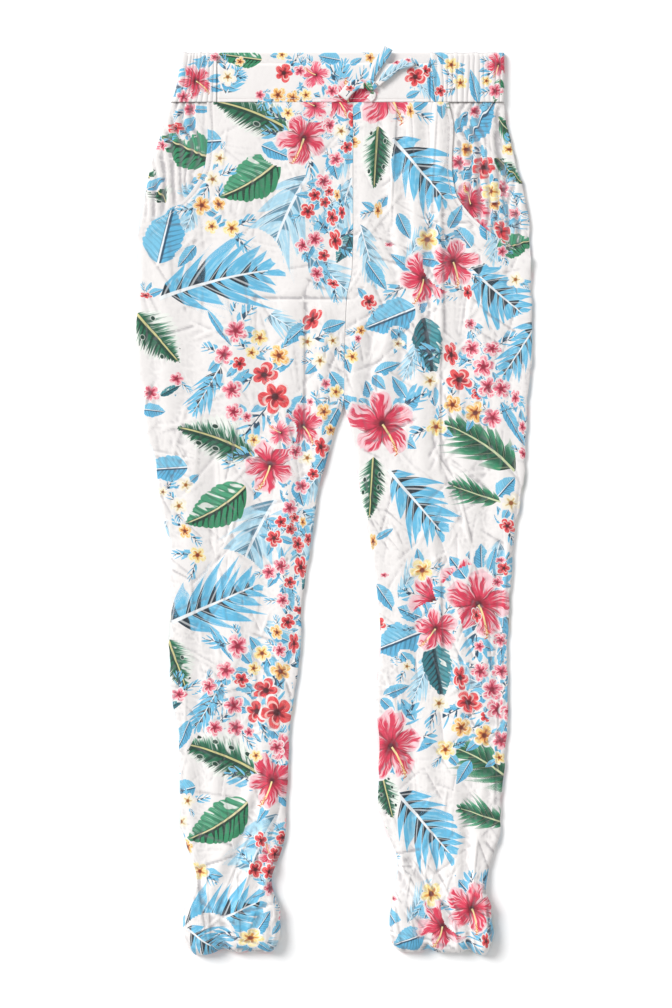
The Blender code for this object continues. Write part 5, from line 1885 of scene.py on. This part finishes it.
@dataclass
class Waistband:
    """The band: a gathered elastic piece round the back and sides, and a flat front piece."""

    cut: Print
    gather_spacing: float = 5.2
    gather_height: float = 1.3
    step: float = 0.72
    back_step: float = 2.0
    row_spacing: float = 1.35
    turn_steps: int = 12
    front_step: float = 1.2
    front_row_spacing: float = 0.9
    roll: float = 2.6
    seam_groove: float = 35.5
    fullness: float = 1.08
    seed: int = 41

    def gather(self, across: Array, down: Array) -> Array:
        """Gathers of the elastic: full ridges with narrow valleys between them."""
        bend = 1.7 * ripples(across, down, 9.0, 60.0, self.seed)
        bend = bend + 0.6 * ripples(across, down, 6.0, 14.0, self.seed + 1)
        ridges = np.abs(np.sin(math.pi * (across + bend) / self.gather_spacing)) ** 0.75
        uneven = 0.75 + 0.25 * ripples(across, down, 11.0, 25.0, self.seed + 2)
        ends = 0.6 + 0.4 * np.sin(math.pi * smoothstep(down, BACK_BAND_TOP - 4, BAND_SEAM + 4))
        return self.gather_height * ridges * uneven * ends

    def bend(self, centre: float, outwards: int, angles: Array) -> list[tuple[float, ...]]:
        """Points of the section round one side of the garment."""
        radius = BAND_LEVEL / 2
        turns = [(outwards * math.cos(angle), math.sin(angle)) for angle in angles]
        return [(centre + radius * out, radius + radius * up, -out, -up, 0.5 + 0.5 * up) for out, up in turns]

    def path(self) -> Array:
        """Section of the elastic band: across, level, direction inwards, and how gathered it is."""
        turn_left, turn_right = BAND_LEFT_SIDE - BAND_LEVEL / 2, BAND_RIGHT_SIDE + BAND_LEVEL / 2
        left_flap = dense(FRONT_BAND_LEFT_SEAM + SEAM_GAP / 2, turn_left, self.step, 1)[:-1]
        right_flap = dense(turn_right, FRONT_BAND_RIGHT_SEAM - SEAM_GAP / 2, self.step, 1)[1:]
        back_run = dense(turn_left, turn_right, self.back_step, 1)[1:-1]
        angles = np.linspace(QUARTER, -QUARTER, self.turn_steps + 1)
        path = [(across, BAND_LEVEL, 0.0, -1.0, 1.0) for across in left_flap]
        path += self.bend(turn_left, 1, angles)
        path += [(across, 0.0, 0.0, 1.0, 0.0) for across in back_run]
        path += self.bend(turn_right, -1, angles[::-1])
        path += [(across, BAND_LEVEL, 0.0, -1.0, 1.0) for across in right_flap]
        return np.array(path)

    def build_back(self, finishes: Finishes) -> Object:
        """The elastic piece, flat under the garment and gathered over both sides."""
        across, level, into_across, into_level, gathered = self.path().T
        downs = dense(BACK_BAND_TOP, BAND_SEAM, self.row_spacing, 1)
        across, down = np.meshgrid(across, downs)
        scallop = 0.7 * gathered * (1.0 - smoothstep(down, BACK_BAND_TOP, BACK_BAND_TOP + 8))
        low = down + scallop * (1.0 + ripples(across, down * 0, 5.0, 5.0, self.seed + 3))
        rolled = np.clip((BACK_BAND_TOP + self.roll - down) / self.roll, 0.0, 1.0) ** 2 * gathered
        height = gathered * self.gather(across, down) - rolled
        ends = (BAND_RIGHT_SIDE + BAND_INSET_WIDTH, FRONT_BAND_RIGHT_SEAM)
        across = across + read_table(BAND_INSETS, "level", down) * np.interp(across, ends, (1.0, 0.0))
        outer = to_world(across - height * into_across, low, level + height * np.maximum(-into_level, 0))
        inner = to_world(across + BAND_WALL * into_across, low, level + BAND_WALL * into_level)
        place = np.stack([across, down], axis=-1)
        grid = Grid(outer, inner, place, thinning=1, shade=painted_valley_shade(height, 2))
        return grid.build("band_back", self.cut, finishes.cloth, finishes.cloth)

    def build_front(self, finishes: Finishes) -> Object:
        """The flat front piece, its upper edge a soft roll."""
        first, last = FRONT_BAND_RIGHT_SEAM + SEAM_GAP / 2, FRONT_BAND_LEFT_SEAM - SEAM_GAP / 2
        downs = dense(FRONT_BAND_TOP, BAND_SEAM, self.front_row_spacing, 3)
        across, down = np.meshgrid(dense(first, last, self.front_step, 3), downs)
        from_top = down - FRONT_BAND_TOP
        fall = 1.3 * np.clip(1.0 - from_top / 2.8, 0.0, 1.0) ** 2
        stitched = 0.35 * np.exp(-(((from_top - self.seam_groove) / 0.9) ** 2))
        soft = 0.35 * ripples(across, down, 22.0, 30.0, self.seed + 4)
        soft = soft + 0.2 * ripples(across, down, 8.0, 16.0, 9)
        from_end = np.minimum(across - FRONT_BAND_RIGHT_SEAM, FRONT_BAND_LEFT_SEAM - across)
        base = BAND_LEVEL + FRONT_BAND_RISE
        level = base - fall - stitched + np.minimum(soft, 0.1) - 0.7 * (1 - smoothstep(from_end, 0.0, 2.5))
        wave = 0.5 * ripples(across, down * 0, 28.0, 5.0, self.seed + 5) * (1 - smoothstep(from_top, 0, 12))
        outer = to_world(across, down + wave, level)
        under = to_world(across, down + wave, base - BAND_WALL)
        grid = Grid(outer, under, np.stack([across, down], axis=-1))
        return grid.build("band_front", self.cut, finishes.cloth, finishes.lining)

    def dress(self, finishes: Finishes) -> None:
        across = np.arange(FRONT_BAND_RIGHT_SEAM + 3.0, FRONT_BAND_LEFT_SEAM - 2.0, 2.0)
        row = to_world(across, BAND_STITCHING, BAND_LEVEL + STITCH_RISE)
        Stitches().sew("band_stitches", row, finishes.thread)
        back, front = self.build_back(finishes), self.build_front(finishes)
        for piece in (back, front):
            declare(piece)
        flap = FRONT_BAND_LEFT_SEAM - FRONT_BAND_RIGHT_SEAM
        length = (2 * (BAND_LEFT_SIDE - BAND_RIGHT_SIDE) - flap) * self.fullness
        length * MM


@dataclass(frozen=True)
class Strip:
    """A flat strip of the tie: its route over the band, and whether it folds back on itself."""

    name: str
    path: tuple[tuple[float, float], ...]
    width: float
    rise: float
    looped: bool


@dataclass
class Tie:
    """The tie of the same cloth at the centre front: a knot, two loops and two ends.

    A strip's cut is at least `least_cut` wide, and `cut_share` of its rectangle is cloth.
    """

    cut: Print
    strips: tuple[Strip, ...] = (
        Strip("tie_loop_left", ((377.5, 86.0), (387, 76), (398, 67), (411, 63.5)), 9.0, 3.6, True),
        Strip("tie_loop_right", ((364.5, 87.5), (357, 86), (350, 90), (344, 97)), 10.5, 3.8, True),
        Strip("tie_end_up", ((371.5, 80.8), (376, 68), (383, 58), (388, 49)), 10.0, 1.6, False),
        Strip("tie_end_down", ((371.5, 93.0), (373, 95), (372, 98), (369, 101)), 6.5, 0.5, False),
    )
    knot_place: tuple[float, float] = (371.0, 87.0)
    knot_size: tuple[float, float, float] = (12.0, 11.0, 6.0)
    knot_share: float = 0.97
    knot_rings: int = 30
    knot_sides: int = 48
    steps: int = 48
    columns: int = 19
    least_cut: float = 10.0
    cut_share: float = 0.88

    @property
    def foot(self) -> float:
        """Height of the tie's underside."""
        return BAND_LEVEL + FRONT_BAND_RISE + SEAM_GAP

    def plan(self, strip: Strip) -> Array:
        """The strip's middle line as seen from above."""
        points = np.array(strip.path, float)
        gaps = np.linalg.norm(np.diff(points, axis=0), axis=1)
        known = np.concatenate([[0.0], np.cumsum(gaps)])
        at = np.linspace(0.0, known[-1], self.steps)
        axes = [table(Level, *zip(known, values)) for values in points.T]
        return np.stack([read_table(axis, "level", at) for axis in axes], axis=-1)

    def route(self, strip: Strip) -> tuple[Array, Array, Array]:
        """Middle line (across, down, height), direction seen from above, and width along it."""
        plan = self.plan(strip)
        run = np.gradient(plan, axis=0)
        run /= np.linalg.norm(run, axis=1, keepdims=True)
        share = np.linspace(0.0, 1.0, len(plan))
        width = strip.width * (0.55 + 0.45 * smoothstep(share, 0.0, 0.4))
        base = self.foot + TIE_WALL / 2
        if not strip.looped:
            arch = strip.rise * np.sin(math.pi * np.clip(share * 1.1, 0.0, 1.0))
            return np.column_stack([plan, base + arch]), run, width
        half = strip.rise / 2
        angles = np.linspace(-QUARTER, QUARTER, 14)[1:-1]
        turn = [
            [*(plan[-1] + half * math.cos(a) * run[-1]), base + half + half * math.sin(a)] for a in angles
        ]
        lower = np.column_stack([plan, np.full(len(plan), base)])
        upper = np.column_stack([plan, np.full(len(plan), base + strip.rise)])[::-1]
        runs = np.concatenate([run, np.repeat(run[-1:], len(turn), axis=0), run[::-1]])
        widths = np.concatenate([width, np.full(len(turn), strip.width), width[::-1]])
        return np.concatenate([lower, turn, upper]), runs, widths

    def build_strip(self, strip: Strip, finishes: Finishes) -> Object:
        """One strip, a pressed tube of cloth with a soft groove along it."""
        route, run, width = self.route(strip)
        sideways = np.column_stack([-run[:, 1], run[:, 0], np.zeros(len(route))])
        along = np.gradient(route, axis=0)
        along /= np.linalg.norm(along, axis=1, keepdims=True)
        normal = np.cross(along, sideways)
        offsets = np.linspace(-0.5, 0.5, self.columns)
        middle = route[:, None, :] + sideways[:, None, :] * (width[:, None] * offsets)[..., None]
        rows = np.arange(len(route))[:, None] * 1.0
        wrinkle = 0.22 * ripples(offsets[None, :] * 9 + 20, rows, 2.0, 6.0, 5)
        plump = TIE_WALL / 2 * np.sqrt(np.clip(1 - (2 * offsets) ** 6, 0.04, 1.0))[None, :]
        upper, lower = (middle + thick[..., None] * normal[:, None, :] for thick in (plump + wrinkle, -plump))
        outer, inner = (to_world(*np.moveaxis(face, -1, 0)) for face in (upper, lower))
        grid = Grid(outer, inner, middle[..., :2], thinning=1)
        return grid.build(strip.name, self.cut, finishes.cloth, finishes.cloth)

    def build_knot(self, finishes: Finishes) -> Object:
        """The knot: a small pressed lump, wound round with cloth."""
        sides, rings = self.knot_sides, self.knot_rings - 1
        length, width, height = self.knot_size
        angle = np.linspace(0.0, math.pi, self.knot_rings + 1)[1:-1, None]
        turn = np.linspace(0.0, 2 * math.pi, sides, endpoint=False)[None, :]
        wound = 1.0 + 0.05 * np.sin(3 * turn + 5 * angle) + 0.035 * np.sin(7 * turn - 4 * angle)
        reach = self.knot_share / 2 * np.sin(angle) * wound
        place = np.stack([length * reach * np.cos(turn), width * reach * np.sin(turn)], axis=-1)
        middle = np.array(self.knot_place)
        places = np.concatenate([(place + middle).reshape(-1, 2), [middle, middle]])
        levels = np.broadcast_to(height / 2 * (1 + np.cos(angle)), reach.shape).ravel()
        levels = self.foot + np.concatenate([levels, [height, 0.0]])
        top, bottom = len(places) - 2, len(places) - 1
        faces: list[tuple[int, ...]] = []
        for side in range(sides):
            following = (side + 1) % sides
            faces += [(side, following, top), (top - sides + following, top - sides + side, bottom)]
            for upper in range(0, (rings - 1) * sides, sides):
                lower = upper + sides
                faces.append((lower + side, lower + following, upper + following, upper + side))
        points = to_world(*places.T, levels)
        mesh = cloth_mesh("tie_knot", points, faces, (finishes.cloth,))
        self.cut.lay(mesh, places)
        return add_object("tie_knot" + CLOTH, mesh)

    def dress(self, finishes: Finishes) -> None:
        declare(self.build_knot(finishes))
        for strip in self.strips:
            piece = self.build_strip(strip, finishes)
            declare(piece)
            route, _, _ = self.route(strip)
            length = float(np.linalg.norm(np.diff(route, axis=0), axis=1).sum())
            flat = (max(strip.width, self.least_cut) * MM, length * MM)
            area = strip.width * length * self.cut_share * MM**2


# ---------------------------------------------------------------- finishes


@cache
def weave_group() -> Group:
    """Node group of a plain weave: threads over and under one another, slightly uneven."""
    made = Group("plain_weave", {"Place": "Vector", "Pitch": "Float"}, {"Height": "Float", "Thread": "Float"})
    s = made.sketch
    x, y, _ = s.split(made.given("Place"))
    sway = s.noise(made.given("Place"), 160.0, 1.0) * 0.0006
    pitch = made.given("Pitch")
    u = (x + sway) * math.pi / pitch
    v = (y - sway) * math.pi / pitch
    warp = abs(s.math("SINE", u))
    weft = abs(s.math("SINE", v))
    over = s.over(s.math("SINE", u + math.pi / 2) * s.math("SINE", v + math.pi / 2), 0.0)
    height = over * warp + (1.0 - over) * weft
    slub = s.noise(s.join(x * 0.25, y), 900.0, 1.0)
    made.put(Height=height * (slub * 0.5 + 0.75), Thread=slub)
    return made


@cache
def crinkle_group() -> Group:
    """Node group of crinkles too small for the mesh."""
    made = Group("small_crinkles", {"Place": "Vector"}, {"Height": "Float", "Wear": "Float"})
    s = made.sketch
    x, y, _ = s.split(made.given("Place"))
    long = s.join(x, y * 0.75)
    first = abs(s.noise(long, 150.0, 2.0) - 0.5) * 2.0
    second = abs(s.noise(long, 420.0, 1.0) - 0.5) * 2.0
    wear = s.noise(made.given("Place"), 9.0, 3.0)
    made.put(Height=1.0 - first * 0.8 - second * 0.35, Wear=wear)
    return made


@cache
def print_layers() -> dict[Ink, Group]:
    """The print's layers, from the lowest up, and what draws each."""
    frond, leaf = FrondDrawing().group(), LeafDrawing().group()
    hibiscus, bloom = HibiscusDrawing().group(), BloomDrawing().group()
    return dict(zip(Ink, (frond, leaf, frond, hibiscus, bloom, bloom)))


@dataclass(frozen=True)
class PrintedCloth:
    """Thin crinkled viscose, white with the printed leaves and flowers."""

    name: str = "printed_cloth"
    ground: Colour = (243, 239, 237)
    worn: int = 7
    light: Colour = (255, 255, 255)
    inked: bool = True
    printed_share: float = 1.0
    ink_strength: float = 0.975
    # Colour and strength of the painted shade in the creases
    shaded: Colour = (120, 116, 124)
    crease_shade: float = 0.55
    roughness: float = 0.78
    sheen: float = 0.12
    specular: float = 0.25
    pitch: float = 0.00045
    thread_height: float = 0.00006
    crinkle_height: float = 0.00028

    def colour(self, s: Sketch, thread: Wire, wear: Wire) -> Wire:
        """The ground's colour with every layer printed over it, and painted shade in its creases."""
        ground = s.mix(dye(self.ground), dye(tuple(part - self.worn for part in self.ground)), wear)
        if not self.inked:
            return ground
        colour = ground
        for ink, drawing in print_layers().items():
            lookup = s.node("ShaderNodeAttribute", attribute_name=ink.value)
            u, v, kind = s.split(lookup.outputs["Vector"])
            drawn = drawing.use(s, Place=s.join(u, v), Kind=kind, Seed=Wire(s, lookup.outputs["Alpha"]))
            ink_colour, mask, rim = (Wire(s, drawn.outputs[name]) for name in PRINT_OUTPUTS)
            colour = s.paint(colour, (ground, rim), (ink_colour, mask))
        faded = s.mix(ground, colour, self.ink_strength * self.printed_share)
        # Painted shade: the colour darkens toward a grey as deep as the mesh lies in a crease
        lookup = s.node("ShaderNodeAttribute", attribute_name=PAINTED_CREASE_SHADE)
        creased = s.mix(faded, dye(self.shaded), Wire(s, lookup.outputs["Fac"]) * self.crease_shade)
        return s.mix(creased, dye(self.light), (thread - 0.5) * 0.10)

    def material(self) -> Material:
        """The cloth's material."""
        made = bpy.data.materials.new(self.name)
        made.use_nodes = True
        tree = made.node_tree
        shader = tree.nodes["Principled BSDF"]
        s = Sketch(tree)
        place = s.node("ShaderNodeTexCoord").outputs["Object"]
        threads = weave_group().use(s, Place=place, Pitch=self.pitch)
        crinkles = crinkle_group().use(s, Place=place)
        thread, wear = Wire(s, threads.outputs["Thread"]), Wire(s, crinkles.outputs["Wear"])
        gloss = {"Sheen Weight": self.sheen, "Sheen Roughness": 0.5, "Specular IOR Level": self.specular}
        s.fed(shader, Roughness=self.roughness + (wear - 0.5) * 0.18 + (thread - 0.5) * 0.08, **gloss)
        s.feed(shader.inputs["Base Color"], self.colour(s, thread, wear))
        large = s.node("ShaderNodeBump")
        s.fed(large, Strength=1.0, Distance=self.crinkle_height, Height=crinkles.outputs["Height"])
        small = s.node("ShaderNodeBump")
        s.fed(small, Strength=1.0, Distance=self.thread_height, Height=threads.outputs["Height"])
        s.feed(small.inputs["Normal"], large.outputs["Normal"])
        s.feed(shader.inputs["Normal"], small.outputs["Normal"])
        return made


# ---------------------------------------------------------------- studio


@dataclass
class Studio:
    """A pale floor, soft light from the upper left and a camera straight above."""

    lens: float = 100.0
    sensor: float = 36.0
    view_height: float = 1.008
    centre: tuple[float, float] = (0.0015, -0.0035)
    floor_colour: Colour = (252, 252, 252)
    floor_size: float = 8.0
    floor_depth: float = 0.0003
    key_strength: float = 2.7
    key_softness: float = 26.0
    key_from: tuple[float, float, float] = (-1.25, 0.95, 1.35)
    sky: float = 0.58

    def build(self) -> None:
        """Makes the floor, the lights and the camera."""
        self.build_floor()
        self.build_lights()
        self.build_camera()

    def build_floor(self) -> None:
        """The plain pale surface that the garment lies on."""
        mesh = bpy.data.meshes.new("floor")
        half = self.floor_size / 2
        corners = [(-half, -half, 0), (half, -half, 0), (half, half, 0), (-half, half, 0)]
        mesh.from_pydata(corners, [], [(0, 1, 2, 3)])
        material = bpy.data.materials.new("floor")
        material.use_nodes = True
        shader = material.node_tree.nodes["Principled BSDF"]
        shader.inputs["Base Color"].default_value = dye(self.floor_colour)
        shader.inputs["Roughness"].default_value = 0.9
        mesh.materials.append(material)
        floor = add_object("floor", mesh)
        floor.location = (0, 0, -self.floor_depth)

    def build_lights(self) -> None:
        """A soft, low light from the upper left and an even sky."""
        light = bpy.data.lights.new("key", "SUN")
        light.angle = math.radians(self.key_softness)
        light.energy = self.key_strength
        lamp = add_object("key", light)
        lamp.location = self.key_from
        lamp.rotation_euler = (-Vector(self.key_from)).to_track_quat("-Z", "Y").to_euler()
        world = bpy.data.worlds.new("sky")
        world.use_nodes = True
        background = world.node_tree.nodes["Background"]
        background.inputs["Color"].default_value = dye((255, 255, 255))
        background.inputs["Strength"].default_value = self.sky
        bpy.context.scene.world = world
        bpy.context.scene.view_settings.view_transform = "Standard"

    def build_camera(self) -> None:
        """The camera, looking straight down with the garment's waist at the top."""
        camera = bpy.data.cameras.new("camera")
        camera.lens = self.lens
        camera.sensor_width = self.sensor
        made = add_object("camera", camera)
        made.location = (*self.centre, self.lens / self.sensor * self.view_height)
        bpy.context.scene.camera = made


# ---------------------------------------------------------------- the garment


def main() -> None:
    """Dresses the garment, and makes its studio."""
    logging.basicConfig(level=logging.INFO, format="%(message)s")
    Studio().build()
    finishes = Finishes(
        cloth=PrintedCloth().material(),
        lining=PrintedCloth(name="printed_cloth_wrong_side", printed_share=0.35).material(),
        thread=PrintedCloth(name="sewing_thread", inked=False).material(),
    )
    both_prints = leafed(tuple(repeated(RIGHT_PRINT + LEFT_PRINT, (-385.0, 60.0), (385.0, -60.0))), 6)
    right = Leg(
        side=Side.RIGHT,
        sections=RIGHT_SECTIONS,
        mouth=RIGHT_MOUTH,
        relief=Relief(RIGHT_CRINKLES, seed=100),
        front_print=Print(leafed(RIGHT_PRINT, 1)),
        side_print=Print(leafed(RIGHT_SIDE_PRINT, 3)),
        back_print=Print(both_prints, shift_across=31.0, shift_down=-44.0, mirrored=True),
        bag_edge=RIGHT_BAG_EDGE,
        flat_front=(0.215, 0.855),
    )
    left = Leg(
        side=Side.LEFT,
        sections=LEFT_SECTIONS,
        mouth=LEFT_MOUTH,
        relief=Relief(LEFT_CRINKLES, seed=200),
        front_print=Print(leafed(LEFT_PRINT, 2)),
        side_print=Print(leafed(LEFT_SIDE_PRINT, 4)),
        back_print=Print(both_prints, shift_across=-23.0, shift_down=37.0, mirrored=True),
        bag_edge=LEFT_BAG_EDGE,
        flat_front=(0.2, 0.855),
    )
    for part in (right, left, Waistband(Print(leafed(BAND_PRINT, 5))), Tie(Print(TIE_PRINT))):
        part.dress(finishes)
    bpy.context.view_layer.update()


if __name__ == "__main__":
    main()
